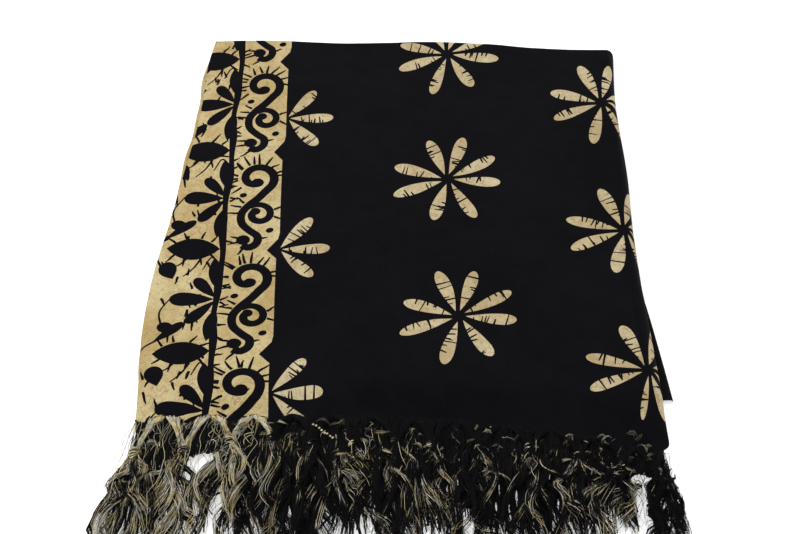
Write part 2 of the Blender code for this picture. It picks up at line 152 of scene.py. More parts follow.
def gather_pull(x):
    """How strongly the knots draw the hem at x: the sum of exp(-distance^2 / width^2) over the knots."""
    return sum(np.exp(-(((x - knot_x) / GATHER_WIDTH) ** 2)) for knot_x, *_ in TASSELS)


def hem_line(x):
    """The hem's y: drawn by the knots, let up between them, a little uneven, and round at the corner,
    where it rises by 1 - sqrt(1 - past^2)."""
    drawn = HEM_DRAWN - HEM_DRAWN_LESS * smoothstep((x + 0.10) / 0.08)
    past = np.clip((x - CORNER_FROM) / CORNER_REACH, 0, 0.98)
    corner = CORNER_RISE * (1 - np.sqrt(1 - past**2))
    uneven = 0.0007 * np.sin(x * 410 + 2 * np.sin(x * 97))
    return eased(HEM, x) + (0.3 - gather_pull(x)) * drawn + uneven + corner


def ripples(x, y):
    """Height of the wrinkles: the gathers' pull fades exponentially from the hem, and two products of
    bent sines, one long and one fine, lie over all."""
    fade = np.exp(-np.maximum(y - eased(HEM, x), 0.0) / GATHER_FADE)
    pull = gather_pull(x) - 0.5
    waves = np.sin(x * 61 + 2.2 * np.sin(y * 17 + 1.0)) * np.sin(y * 43 + 1.7 * np.sin(x * 23))
    fine = np.sin(x * 190 + y * 70 + 3.0 * np.sin(y * 31)) * np.sin(y * 150 - x * 40)
    return GATHER_DEPTH * fade * pull + 0.00035 * waves + 0.00010 * fine


print("the hem at the first and last knot: y", [round(float(hem_line(TASSELS[k][0])), 4) for k in (0, -1)])

# %% [markdown]
# ## Shape of the folded cloth
# Six layers lie pressed on each other, thicker at the centre fold, and the top one turns down at
# each fold. A simulation would have to find this shape, but it can be written down: a height over
# the table at each plan point, and a map from cloth coordinates (s across, t along, both in
# metres of cloth) to space, in which the cloth runs down a quarter round past the start of a fold.
# %% Height of the stack


def stack_height(x, y):
    """Left height + (right - left) * across^power, less the droop at the selvage, plus the swells, each
    a bell, less the crease, a narrow bell across x."""
    left, right = eased(LEFT_EDGE, y), eased(RIGHT_EDGE, y)
    across = np.clip((x - left) / (right - left), 0.0, 1.0)
    height = STACK_LEFT + (STACK_RIGHT - STACK_LEFT) * across**STACK_POWER
    height = height - DROOP * (1 - smoothstep((x - left) / DROOP_RUN))
    for swell_x, swell_y, radius, rise in SWELLS:
        height = height + rise * np.exp(-((x - swell_x) ** 2 + (y - swell_y) ** 2) / radius**2)
    along = smoothstep((y - 0.020) / 0.05) * smoothstep((0.200 - y) / 0.06)
    return height - CREASE_DEPTH * along * np.exp(-(((x - CREASE_X) / CREASE_WIDTH) ** 2))


def flap_share(y, near):
    """1 where the flap carries the sheet's right edge, 0 elsewhere."""
    return smoothstep(eased(FLAP_OUT, y) / 0.0030) * smoothstep((y - near + 0.010) / 0.010)


print("height in the middle of the panel:", round(float(stack_height(0.0, 0.3)), 4), "m")

# %% [markdown]
# ## From flat cloth to space
# Real cloth keeps its length when it is folded, and the print lies in the cloth's own coordinates.
# A modifier could bend a flat mesh, but a map that takes each cloth point to space keeps the length
# over every fold and serves the grid and the print alike.
# %% From the flat cloth to space


def lay(s, t):
    """Plan points in space for cloth points (s, t). Past a fold's start the run over the round becomes
    an angle: x goes on by radius * sin and the height falls by cos. Past the selvage or the hem the
    edge rolls under, half round, and goes back inwards."""
    x = s.copy()
    for _ in range(FOLD_PASSES):
        far = eased(FAR_FOLD, x) - FAR_ROUND
        turn_y = np.clip((t - far) / quarter(FAR_ROUND, stack_height(x, far)), 0, 1) * math.pi / 2
        y = np.minimum(t, far) + FAR_ROUND * np.sin(turn_y)
        start = eased(RIGHT_EDGE, y) - SIDE_ROUND
        turn_x = np.clip((s - start) / quarter(SIDE_ROUND, stack_height(start, y)), 0, 1) * math.pi / 2
        x = np.minimum(s, start) + SIDE_ROUND * np.sin(turn_x)
    side, back = np.cos(turn_x), np.cos(turn_y)
    left, hem = eased(LEFT_EDGE, y), hem_line(s)
    fold = eased(NEAR_FOLD, x) + NEAR_ROUND
    over, under = np.maximum(left - s, 0.0), np.maximum(hem - t, 0.0)
    x, y = np.maximum(x, left), np.maximum(y, hem)
    height = stack_height(np.minimum(x, start), y)
    height = HEM_TOP + (height - HEM_TOP) * smoothstep((y - hem) / (fold - hem))
    base = PANEL_LIFT + (FLAP_TOP + FLAP_GAP) * flap_share(y, eased(NEAR_FOLD, x))
    height = height + ripples(x, y) * side * back
    z = base + (height - base) * side * back
    pull = CORNER_PULL * (1 - side) * (1 - back)
    radius = EDGE_THICK / 2
    for axis, past in ((0, over), (1, under)):
        turn = np.clip(past / radius, 0, math.pi)
        inward = np.maximum(past - math.pi * radius, 0.0)
        if axis == 0:
            x = x - radius * np.sin(turn) + inward
        else:
            y = y - radius * np.sin(turn) + inward
        z = z - radius * (1 - np.cos(turn))
    return np.stack([x - pull, y - pull, np.maximum(z, TABLE_GAP)], axis=-1)


# %% [markdown]
# ## From points to a piece
# A mesh could be built vertex by vertex in edit mode. Whole arrays are much quicker, and one
# function for all pieces keeps their frame, materials and smoothing alike.
# %% One way to make each piece


def new_piece(name, vertices, faces, materials, slots=None):
    """A mesh object at the origin from plan points, moved into the frame."""
    mesh = bpy.data.meshes.new(name)
    vertices = np.asarray(vertices, float) + PLAN_ORIGIN
    mesh.from_pydata(vertices.tolist(), [], faces)
    for material in materials:
        mesh.materials.append(material)
    if slots is not None:
        mesh.polygons.foreach_set("material_index", np.asarray(slots, np.int32))
    mesh.polygons.foreach_set("use_smooth", np.ones(len(mesh.polygons), bool))
    mesh.update()
    piece = bpy.data.objects.new(name, mesh)
    bpy.context.collection.objects.link(piece)
    print(f"{name}: {len(mesh.vertices)} vertices, {len(mesh.polygons)} faces")
    return piece


# %% [markdown]
# ## Material helpers
# Every finish here is a Principled shader fed by noise and waves. The nodes could be placed one by
# one, but a helper that adds a node, fills its inputs and links it in one line keeps each finish
# short enough to read.
# %% Helpers for shader nodes


def material_nodes(name):
    """A new material, its tree and shader, and a function that adds a node to it."""
    material = bpy.data.materials.new(name)
    material.use_nodes = True
    tree = material.node_tree
    shader = tree.nodes["Principled BSDF"]

    def add(kind, inputs=(), **settings):
        node = tree.nodes.new(kind)
        for key, value in settings.items():
            setattr(node, key, value)
        for socket, value in dict(inputs).items():
            if isinstance(value, bpy.types.NodeSocket):
                tree.links.new(value, node.inputs[socket])
            else:
                node.inputs[socket].default_value = value
        return node

    return material, tree, shader, add


def mix_colour(add, factor, first, second):
    """first + factor * (second - first), for colours."""
    node = add("ShaderNodeMix", data_type="RGBA")
    tree = node.id_data
    for socket, value in ((0, factor), (6, first), (7, second)):
        if isinstance(value, bpy.types.NodeSocket):
            tree.links.new(value, node.inputs[socket])
        else:
            node.inputs[socket].default_value = value
    return node.outputs[2]


def noise(add, place, scale, detail, **more):
    """A noise texture at a place; a scale of 100 gives spots of about 10 mm."""
    inputs = {"Vector": place, "Scale": scale, "Detail": detail}
    inputs.update((key.replace("_", " ").title(), value) for key, value in more.items())
    return add("ShaderNodeTexNoise", inputs)


# %% [markdown]
# ## Printed cloth
# The cloth is plain-woven rayon, dyed black over wax, so the cream is mottled and has thin brown
# veins where the wax cracked. A picture of cloth could be laid on it, but noise and waves stay
# sharp at any distance and repeat nowhere. The material reads the sheet's own UV map, which is in
# metres of flat cloth, so the weave follows the folds.
# %% Dye: colours, veins and a paler field
VEIN_SCALES, VEIN_WIDTH = (48.0, 115.0), 0.030
PALE_FROM, PALE_TO, PALE = -0.135, -0.120, 0.85  # right of the border the cream is less saturated


def dyed_cloth(add, place, light, dark, vein):
    """Colour of the dyed cloth and its mottle: two noises added choose between dark and light, and a vein
    lies where a bent noise is within VEIN_WIDTH of its middle."""
    mottle = noise(add, place, 42.0, 6.0, roughness=0.62)
    patch = noise(add, place, 9.0, 2.0)
    blend = add("ShaderNodeMath", {0: mottle.outputs["Fac"], 1: patch.outputs["Fac"]}, operation="ADD")
    spread = add("ShaderNodeMapRange", {"Value": blend.outputs[0], "From Min": 0.82, "From Max": 1.20})
    colour = mix_colour(add, spread.outputs[0], (*dark, 1), (*light, 1))
    bend = noise(add, place, 90.0, 3.0)
    offset = add("ShaderNodeVectorMath", {0: bend.outputs["Color"], "Scale": 0.016}, operation="SCALE")
    bent = add("ShaderNodeVectorMath", {0: place, 1: offset.outputs[0]}, operation="ADD")
    veins = []
    for scale in VEIN_SCALES:
        ridge = noise(add, bent.outputs[0], scale, 2.0, distortion=1.2)
        away = add("ShaderNodeMath", {0: ridge.outputs["Fac"], 1: 0.5}, operation="SUBTRACT")
        size = add("ShaderNodeMath", {0: away.outputs[0]}, operation="ABSOLUTE")
        near = {"Value": size.outputs[0], "From Max": VEIN_WIDTH, "To Min": 1.0, "To Max": 0.0}
        veins.append(add("ShaderNodeMapRange", near))
    line = add("ShaderNodeMath", {0: veins[0].outputs[0], 1: veins[1].outputs[0]}, operation="MAXIMUM")
    faint = add("ShaderNodeMath", {0: line.outputs[0], 1: mottle.outputs["Fac"]}, operation="MULTIPLY")
    colour = mix_colour(add, faint.outputs[0], colour, (*vein, 1))
    across = add("ShaderNodeSeparateXYZ", {"Vector": place}).outputs["X"]
    pale = add("ShaderNodeMapRange", {"Value": across, "From Min": PALE_FROM, "From Max": PALE_TO,
                                      "To Min": 1.0, "To Max": PALE})
    return add("ShaderNodeHueSaturation", {"Saturation": pale.outputs[0], "Color": colour}).outputs["Color"]


# %% [markdown]
# ## The weave
# Plain weave is threads that cross over and under every 0.45 mm. As meshes they would be millions,
# so two crossed waves give their relief as bump and as a faint painted shade in the colour, darker
# where the threads dip, and noise gives the thicker places in the yarn.
# %% Weave: crossed waves as bump and shade
WEAVE_SCALE = 700.0  # a wave texture of this scale repeats every 0.45 mm, the spacing of the threads


def cloth_material(name, light, dark, vein, specular, sheen):
    """Woven cloth: the dyed colour times a painted shade from the weave, which is the product of two crossed
    waves, and the weave plus a fine noise as bump."""
    material, tree, shader, add = material_nodes(name)
    place = add("ShaderNodeUVMap", uv_map="cloth").outputs["UV"]
    colour = dyed_cloth(add, place, light, dark, vein)
    crossed = []
    for direction in ("X", "Y"):
        ribs = {"Vector": place, "Scale": WEAVE_SCALE, "Distortion": 0.6, "Detail": 1.0, "Detail Scale": 0.4}
        crossed.append(add("ShaderNodeTexWave", ribs, bands_direction=direction).outputs["Fac"])
    weave = add("ShaderNodeMath", {0: crossed[0], 1: crossed[1]}, operation="MULTIPLY")
    slub = noise(add, place, 260.0, 3.0)
    relief = add("ShaderNodeMath", {0: weave.outputs[0], 1: slub.outputs["Fac"]}, operation="ADD")
    bump = add("ShaderNodeBump", {"Height": relief.outputs[0], "Strength": 0.35, "Distance": 0.0003})
    tree.links.new(bump.outputs["Normal"], shader.inputs["Normal"])
    # painted shade and light: the colour runs from 0.88 to 1.06 times itself, darker where the weave's relief
    # is low
    threads = add("ShaderNodeMapRange", {"Value": weave.outputs[0], "To Min": 0.88, "To Max": 1.06})
    shaded = add("ShaderNodeVectorMath", {0: colour, "Scale": threads.outputs[0]}, operation="SCALE")
    tree.links.new(shaded.outputs[0], shader.inputs["Base Color"])
    rough = add("ShaderNodeMapRange", {"Value": slub.outputs["Fac"], "To Min": 0.72, "To Max": 0.92})
    tree.links.new(rough.outputs[0], shader.inputs["Roughness"])
    shader.inputs["Specular IOR Level"].default_value = specular
    shader.inputs["Sheen Weight"].default_value = sheen
    shader.inputs["Sheen Roughness"].default_value = 0.45
    print(f"{name}: {len(tree.nodes)} nodes")
    return material


black_cloth = cloth_material("black_dyed_rayon", (0.0052, 0.0046, 0.0072), (0.0034, 0.0031, 0.0044),
                             (0.0048, 0.0048, 0.0080), 0.05, 0.012)
cream_cloth = cloth_material("cream_rayon", (0.735, 0.610, 0.330), (0.565, 0.412, 0.170),
                             (0.270, 0.140, 0.045), 0.12, 0.10)

# %% [markdown]
# ## Fringe yarn
# A yarn in the fringe is black where it came from the black ground and cream where wax covered
# it, and it changes along its length. Two materials would change only between whole threads, so
# one material reads an attribute, dye, that each thread carries along itself, from 0 black to 1 cream.
# %% Yarn
DYE_STOPS = (  # dye, colour
    (0.00, (0.0024, 0.0023, 0.0040)), (0.34, (0.0080, 0.0075, 0.0090)), (0.55, (0.100, 0.088, 0.060)),
    (0.80, (0.540, 0.460, 0.285)), (1.00, (0.880, 0.760, 0.460)),
)


def yarn_material():
    """Fringe yarn: a ramp over dye plus a little noise, its saturation varied by a second noise."""
    material, tree, shader, add = material_nodes("fringe_yarn")
    dye = add("ShaderNodeAttribute", attribute_name="dye").outputs["Fac"]
    place = add("ShaderNodeTexCoord").outputs["Object"]
    speck = noise(add, place, 160.0, 4.0)
    shift = add("ShaderNodeMapRange", {"Value": speck.outputs["Fac"], "From Min": 0.3, "From Max": 0.7,
                                       "To Min": -0.12, "To Max": 0.12})
    value = add("ShaderNodeMath", {0: dye, 1: shift.outputs[0]}, operation="ADD")
    ramp = add("ShaderNodeValToRGB", {"Fac": value.outputs[0]})
    ramp.color_ramp.elements.remove(ramp.color_ramp.elements[1])
    ramp.color_ramp.elements[0].color = (*DYE_STOPS[0][1], 1)
    for position, colour in DYE_STOPS[1:]:
        ramp.color_ramp.elements.new(position).color = (*colour, 1)
    fade = noise(add, place, 75.0, 3.0)
    strength = add("ShaderNodeMapRange", {"Value": fade.outputs["Fac"], "From Min": 0.35, "From Max": 0.65,
                                          "To Min": 0.35, "To Max": 1.30})
    faded = {"Saturation": strength.outputs[0], "Color": ramp.outputs["Color"]}
    tinted = add("ShaderNodeHueSaturation", faded)
    tree.links.new(tinted.outputs["Color"], shader.inputs["Base Color"])
    twist = noise(add, place, 900.0, 2.0)
    bump = add("ShaderNodeBump", {"Height": twist.outputs["Fac"], "Strength": 0.4, "Distance": 0.0003})
    tree.links.new(bump.outputs["Normal"], shader.inputs["Normal"])
    shader.inputs["Roughness"].default_value = 0.6
    shader.inputs["Specular IOR Level"].default_value = 0.09
    shader.inputs["Sheen Weight"].default_value = 0.02
    print(f"fringe_yarn: {len(tree.nodes)} nodes")
    return material


yarn = yarn_material()

# %% [markdown]
# ## The print's coordinates
# The print is an ordinary repeat of flowers with a scroll border at the selvage, stamped in wax
# before dyeing. It could be painted on a texture, but then its edges would blur and the meshes
# would show nothing of it. So each shape is a closed outline from a formula, and the outlines are
# painted in order, black on cream or cream on black. Print coordinates are (u, v): u is the plan x,
# and v runs along the cloth with a flower row every ROW metres.
# %% Print coordinates
ROW = 0.2073
SCROLL = 0.1528  # repeat of the border's scrolls and palmettes
BAND_EDGE, NOTCH_DEPTH = -0.1300, 0.0140
BAND_OUT = -0.33  # the border runs on past the selvage
VINE, VINE_WIDTH = -0.1970, 0.0082
CREAM, BLACK = 1, 0
FIRST_ROW = (  # u, y of the row at v = 0
    (-0.27, 0.039), (-0.13, 0.0392), (0.0817, 0.0440), (0.2815, 0.0590),
)
rng = np.random.default_rng(7)
print("flower rows every", ROW, "m of print, scrolls every", SCROLL, "m")


def rows_to_plan(outline):
    """y = first + 0.190 n + 0.0105 n^2 with n = v / ROW: the rows lie a little closer near the hem."""
    u, v = outline.T
    n = v / ROW
    return np.stack([u, eased(FIRST_ROW, u) + 0.190 * n + 0.0105 * n**2], axis=-1)


# %% [markdown]
# ## Petals, leaves and brush strokes
# The stamp's shapes are few: round-ended petals, pointed leaves, dots, and lines of a varying
# width. They could be drawn with curve objects, but an outline from a formula can be turned, moved
# and repeated as one array.
# %% Petals, leaves and dots


def turned(points, angle, centre=(0.0, 0.0)):
    """Points turned by an angle in degrees and moved to a centre."""
    c, s = math.cos(math.radians(angle)), math.sin(math.radians(angle))
    return points @ np.array(((c, s), (-s, c))) + np.asarray(centre)


def petal(start, end, width, centre, angle, widest=0.72, bend=0.0):
    """A petal along its axis: half width * sin(share / widest)^0.95 up to its widest place, then a quarter
    ellipse, sqrt(1 - share^2), as its round end."""
    share = 0.5 - 0.5 * np.cos(np.linspace(0, math.pi, 17))
    rise = np.sin(math.pi / 2 * np.minimum(share / widest, 1)) ** 0.95
    tail = np.sqrt(np.clip(1 - ((share - widest) / (1 - widest)) ** 2, 0, 1))
    half = width / 2 * np.where(share < widest, rise, tail)
    along = start + (end - start) * share
    drift = bend * (share - 0.5) ** 2 * (end - start)
    upper = np.stack([along, half + drift], axis=-1)
    lower = np.stack([along, drift - half], axis=-1)[-2:0:-1]
    return turned(np.concatenate([upper, lower]), angle, centre)


def leaf(length, width, centre, angle):
    """A pointed oval: half width * sin(pi * share)^0.8 along its length."""
    share = np.linspace(0, 1, 13)
    half = width / 2 * np.sin(math.pi * share) ** 0.8
    along = (share - 0.5) * length
    upper = np.stack([along, half], axis=-1)
    lower = np.stack([along, -half * 0.85], axis=-1)[-2:0:-1]
    return turned(np.concatenate([upper, lower]), angle, centre)


def disc(centre, wide, high, angle=0.0):
    """A small oval dot: (wide cos, high sin)."""
    turn = np.linspace(0, 2 * math.pi, 13)[:-1]
    return turned(np.stack([wide * np.cos(turn), high * np.sin(turn)], axis=-1), angle, centre)


print("a petal has", len(petal(0, 1, 1, (0, 0), 0)), "points, a leaf", len(leaf(1, 1, (0, 0), 0)))

# %% Brush strokes


def stroke(points, widths):
    """A brush stroke as a run of quads: points + and - the normal * half the width at each."""
    points, widths = np.asarray(points, float), np.asarray(widths, float)
    tangent = np.gradient(points, axis=0)
    tangent /= np.linalg.norm(tangent, axis=1)[:, None]
    side = np.stack([-tangent[:, 1], tangent[:, 0]], axis=-1) * widths[:, None] / 2
    upper, lower = points + side, points - side
    return list(np.stack([lower[:-1], lower[1:], upper[1:], upper[:-1]], axis=1))


def inked(shapes):
    """Black outlines from shapes and strokes, where a stroke is a list of outlines."""
    flat = []
    for shape in shapes:
        flat += shape if isinstance(shape, list) else [shape]
    return [(BLACK, outline) for outline in flat]


def fine(outline, step=0.003):
    """The same outline with points no more than a step apart, so that it can bend over a fold."""
    run = np.roll(outline, -1, axis=0) - outline
    parts = np.maximum(np.ceil(np.linalg.norm(run, axis=1) / step), 1).astype(int)
    share = np.concatenate([np.arange(p) / p for p in parts])[:, None]
    return np.repeat(outline, parts, axis=0) + np.repeat(run, parts, axis=0) * share


def anticlockwise(outline):
    """The outline turned so that its area, half the sum of x dy - y dx, is positive."""
    x, y = outline.T
    area = np.sum(x * np.roll(y, -1) - y * np.roll(x, -1))
    return outline if area > 0 else outline[::-1]


def smooth_run(points, count):
    """Points on a smooth curve through the given ones, at even steps of the run between them."""
    points = np.asarray(points, float)
    keys = np.concatenate([[0], np.cumsum(np.linalg.norm(np.diff(points, axis=0), axis=1))])
    at = np.linspace(0, keys[-1], count)
    return np.stack([eased(np.stack([keys, points[:, k]], axis=-1), at) for k in (0, 1)], axis=-1)


def heading(angle):
    """The unit step (cos, sin) of an angle in degrees."""
    return np.array((math.cos(math.radians(angle)), math.sin(math.radians(angle))))


def hair(start, angle, length, width=0.0031):
    """A short brush line: four points a third of its length apart, a little shaken, narrower to its end."""
    run = np.asarray(start) + np.linspace(0, length, 4)[:, None] * heading(angle)
    run[1:3] += rng.normal(0, 0.0003, (2, 2))
    return stroke(run, np.array((1.0, 1.0, 0.8, 0.45)) * width)


# %% [markdown]
# ## Flowers and the edge of the border
# A flower is eight petals stamped in wax, and the brush has left small black strokes across them.
# At the border's edge a notch lies between two scrolls, and a half flower of three petals springs
# from it. The flowers could be copies of one, but no two stamps look the same, so each one is drawn
# anew with its own small random changes.
# %% Flowers and the border's edge
SCROLL_START = 0.0545  # v of the first notch


def band_outline():
    """The cream border: straight at its right side but for a notch between two scrolls."""
    edge = []
    for k in range(-1, 6):
        notch = SCROLL_START + k * SCROLL
        depth = NOTCH_DEPTH + rng.normal(0, 0.0008)
        edge += [(BAND_EDGE - depth, notch), (BAND_EDGE - 0.001, notch + 0.017),
                 (BAND_EDGE + 0.0005, notch + 0.026), (BAND_EDGE - 0.001, notch + 0.080),
                 (BAND_EDGE - 0.002, notch + SCROLL - 0.013)]
    edge = np.array(edge)
    return np.concatenate([edge, [(BAND_OUT, edge[-1, 1]), (BAND_OUT, edge[0, 1])]])


def flower(centre, angles, first=0.008, length=0.0690, width=0.0156, creased=None):
    """Petals round a centre at these angles, each crossed from one side by a few short strokes. The
    creased one shows less than half of its width."""
    shapes = []
    for angle in angles:
        shown = 0.45 if angle == creased else 1.0
        angle = angle + rng.normal(0, 1.5)
        end = length * rng.uniform(0.94, 1.03)
        wide = shown * width * rng.uniform(0.90, 1.06)
        shapes.append((CREAM, petal(first, end, wide, centre, angle, rng.uniform(0.66, 0.76), 0.05)))
        side = rng.choice((-1, 1))
        for at in np.sort(rng.uniform(0.16, 0.86, rng.integers(5, 9))):
            reach = rng.choice((0.40, 0.55, 0.75, 1.15))
            foot = first + (end - first) * at
            slant = rng.uniform(-0.0025, 0.0025)
            outside = 0.56 * side * wide
            line = ((foot, outside), (foot + slant, side * wide * (0.56 - reach)))
            line = turned(np.array(line), angle, centre)
            thick = rng.uniform(0.0017, 0.0030)
            shapes += inked([stroke(line, (thick, thick * 0.6))])
    return shapes


# %% [markdown]
# ## Scrolls
# Between the wavy line and the border's edge runs a row of scrolls, brushed in one go: a spiral, a
# long bend with a second spiral on it, and a hook. A curve object with a bevel could draw them, but
# an arc whose radius grows with its angle is the spiral itself, and its width can be set along it.
# %% Scrolls
HAIR_TURNS = (8, 22, 44, 66, 84, 97, 118, 135, 150, 168, 180, 196, 215)  # hairs round the top spiral
SCROLL_STRETCH = (1.07, 1.0)  # the scrolls are a little wider than their formula
LOWER_HAIRS = (  # start, angle, length
    ((0.0250, -0.0500), 25, 0.012), ((0.0255, -0.0600), -30, 0.014), ((-0.0120, -0.0450), 165, 0.014),
    ((-0.0140, -0.0540), 178, 0.014), ((-0.0090, -0.0390), 140, 0.012), ((-0.0130, -0.0990), 200, 0.013),
    ((-0.0130, -0.0920), 172, 0.011), ((-0.0060, -0.1085), 225, 0.014), ((0.0125, -0.0930), 10, 0.009),
    ((0.0050, -0.0130), 40, 0.010),
)
SCROLL_BEND = (  # from the top spiral down to the hook
    (0.0060, -0.0320), (-0.0040, -0.0430), (-0.0110, -0.0550), (-0.0100, -0.0700), (0.0000, -0.0820),
    (0.0090, -0.0910), (0.0080, -0.1010), (0.0000, -0.1070), (-0.0080, -0.1035),
)


def spiral(centre, turn_from, turn_to, radius_from, radius_to, count):
    """An arc whose radius changes evenly with its angle: centre + radius * (cos, sin)."""
    turn = np.radians(np.linspace(turn_from, turn_to, count))
    radius = np.linspace(radius_from, radius_to, count)
    return np.stack([centre[0] + radius * np.cos(turn), centre[1] + radius * np.sin(turn)], axis=-1)


def scroll_unit(u, v):
    """One scroll: two spirals, the bend that joins them to the hook, blobs at their ends, and hairs."""
    shapes = []
    middle_of_top = (0.0030, 0)
    top = spiral(middle_of_top, 300, -52, 0.0085, 0.0222, 36)
    bend = smooth_run([top[-1], *SCROLL_BEND], 36)
    path = np.concatenate([top, bend[1:]])
    share = np.linspace(0, 1, len(path))
    widths = np.interp(share, (0, 0.2, 0.45, 0.8, 1), (0.0096, 0.0098, 0.0106, 0.0092, 0.0104))
    shapes.append(stroke(path, widths))
    middle = spiral((0.0085, -0.0570), 132, -230, 0.0165, 0.0065, 34)
    shapes.append(stroke(middle, np.linspace(0.0080, 0.0094, 34)))
    shapes += [disc(top[0] + (-0.0030, 0.0006), 0.0072, 0.0064), disc(middle[-1], 0.0060, 0.0056),
               disc((-0.0070, -0.0955), 0.0080, 0.0074), disc((-0.0110, -0.0265), 0.0044, 0.0036, 20),
               disc((0.0220, -0.0815), 0.0046, 0.0038, 25)]
    for turn in HAIR_TURNS:
        turn = turn + rng.normal(0, 4)
        start = heading(turn) * 0.0220 + middle_of_top
        shapes.append(hair(start, turn + rng.normal(0, 14), rng.uniform(0.010, 0.018)))
    for start, turn, long in LOWER_HAIRS:
        shapes.append(hair(start, turn + rng.normal(0, 6), long * rng.uniform(0.8, 1.15)))
    return [(tone, outline * SCROLL_STRETCH + (u, v)) for tone, outline in inked(shapes)]


# %% [markdown]
# ## Palmettes and leaves beside the wavy line
# The outer strip has a palmette and a pointed leaf in turn on a wavy line, with buds, stems and
# many short hairs. One repeat could be copied, but a maker's brush never repeats exactly. So the
# places repeat, and each group has its own turns, lengths and hairs.
# %% Palmettes and leaves


def vine_unit(v):
    """One repeat left of the wavy line: a palmette, a pointed leaf, a bud, stems and hairs."""
    shapes = []
    for angle, length, width in ((178, 0.055, 0.0200), (134, 0.042, 0.0150), (226, 0.046, 0.0150)):
        end = length * rng.uniform(0.95, 1.05)
        shapes.append(petal(0.003, end, width, (VINE, v), angle + rng.normal(0, 2)))
    for side in (1, -1):
        shapes.append(leaf(0.046, 0.0170, (VINE - 0.0040, v + side * 0.038), 90 + side * 8))
    low = v - SCROLL / 2
    shapes.append(leaf(0.064, 0.0350, (VINE - 0.0340, low), 180 + rng.normal(0, 3)))
    bud = (VINE - 0.0600, low - 0.0330)
    shapes.append(petal(-0.014, 0.014, 0.0215, bud, 115 + rng.normal(0, 8), 0.6))
    shapes.append(petal(-0.028, 0.016, 0.0120, (VINE - 0.0470, v - 0.0440), 42 + rng.normal(0, 5), 0.7))
    shapes.append(disc((VINE - 0.0550, low + 0.0360), 0.0100, 0.0078, -20))
    stems = (
        ((VINE - 0.0600, low + 0.0400), (VINE - 0.0640, v - 0.0200), (VINE - 0.0520, v + 0.0040)),
        ((VINE - 0.0650, v - 0.0600), (VINE - 0.0760, v - 0.0680), (VINE - 0.0800, low + 0.0020)),
        ((VINE - 0.0400, low - 0.0150), (VINE - 0.0480, low - 0.0240), (VINE - 0.0560, low - 0.0280)),
        ((VINE - 0.0230, low - 0.0150), (VINE - 0.0310, low - 0.0300), (VINE - 0.0420, low - 0.0420)),
        ((VINE - 0.0010, v + 0.0520), (VINE - 0.0100, v + 0.0620), (VINE - 0.0200, v + 0.0440)),
    )
    for stem in stems:
        run = smooth_run(stem, 9)
        shapes.append(stroke(run, np.linspace(0.0028, 0.0016, 9)))
    for turn in (38, 70, 110, 145, 215, 250, 290, 322):
        start = heading(turn) * (0.026, 0.015) + (VINE - 0.0340, low)
        shapes.append(hair(start, turn + rng.normal(0, 12), rng.uniform(0.009, 0.015)))
    for _ in range(7):
        start = (VINE + 0.0035, v + rng.uniform(-0.5, 0.5) * SCROLL)
        shapes.append(hair(start, rng.uniform(-38, 38), rng.uniform(0.007, 0.013)))
    for _ in range(22):
        start = (VINE + rng.uniform(-0.072, -0.008), v + rng.uniform(-0.5, 0.5) * SCROLL)
        angle = rng.uniform(60, 120) * rng.choice((-1, 1))
        shapes.append(hair(start, angle, rng.uniform(0.009, 0.016)))
    return inked(shapes)


def vine_line():
    """The wavy line between the two strips of the border: a sine at the scrolls' repeat and a small quick
    one, its width a sine at twice the repeat."""
    v = np.linspace(-0.09, 0.85, 240)
    u = VINE + 0.0014 * np.sin(v * 2 * math.pi / SCROLL) + 0.0006 * np.sin(v * 101)
    return stroke(np.stack([u, v], axis=-1), VINE_WIDTH + 0.0016 * np.sin(v * 4 * math.pi / SCROLL + 1))


# %% [markdown]
# ## The whole print
# The border comes first, then its scrolls and leaves in black, then the flowers in cream with their
# strokes. The flower rows at the border and at the centre fold lie half a repeat from the row
# between them, whose flowers each have their own place, because in the cloth they are a little off
# the grid.
# %% The whole print
WHOLE_FLOWER = (26, 70, 109, 159, 197, 252, 297, 349)  # angles of the petals
CORNER_FLOWER, CREASED_PETAL = (22, 70, 109, 159, 197, 258, 285, 335), 258  # at the near right corner
HALF_FLOWER = (50, 2, -48)
MIDDLE_FLOWERS = ((0.0785, 0.0980), (0.0745, 0.3070), (0.0835, 0.5160), (0.0817, 0.7255))
RIGHT_FLOWERS_U = 0.2815
SCROLLS_U, PALMETTES_V = -0.1655, 0.1358


def print_shapes():
    """Every outline of the print in plan coordinates, in painting order."""
    shapes = [(CREAM, band_outline()), *inked([vine_line()])]
    for k in range(-1, 5):
        shapes += vine_unit(PALMETTES_V + k * SCROLL)
        shapes += scroll_unit(SCROLLS_U + rng.normal(0, 0.0008), SCROLL_START - 0.041 + k * SCROLL)
    for n, middle in enumerate(MIDDLE_FLOWERS):
        shapes += flower((BAND_EDGE + 0.0005, n * ROW), HALF_FLOWER, 0.004, 0.0600, 0.0158)
        shapes += flower(middle, WHOLE_FLOWER)
        right = (RIGHT_FLOWERS_U, n * ROW)
        shapes += flower(right, WHOLE_FLOWER) if n else flower(right, CORNER_FLOWER, creased=CREASED_PETAL)
    return [(tone, anticlockwise(rows_to_plan(fine(outline)))) for tone, outline in shapes]


# %% [markdown]
# ## The sheet
# On the real cloth the print is in the yarns, with sharp edges. It could be a texture over a plain
# grid, but here a constrained triangulation joins the grid and the print's outlines, so each face
# is wholly black or wholly cream. The grid is closer at the cloth's edges and folds.
# %% Grid of the flat cloth
GRID_STEPS = (0.0022, 0.0047, 0.0013)  # at the start, in the middle and at the fold where a run ends
TURNED_EDGE = np.array((0.0052, 0.0024, 0.0016, 0.0008))[:, None]  # rows past the edge, which curl down
DROP_RUN, SIDE_RUN = 0.0155, 0.0175  # cloth that goes into the quarter round and down its drop


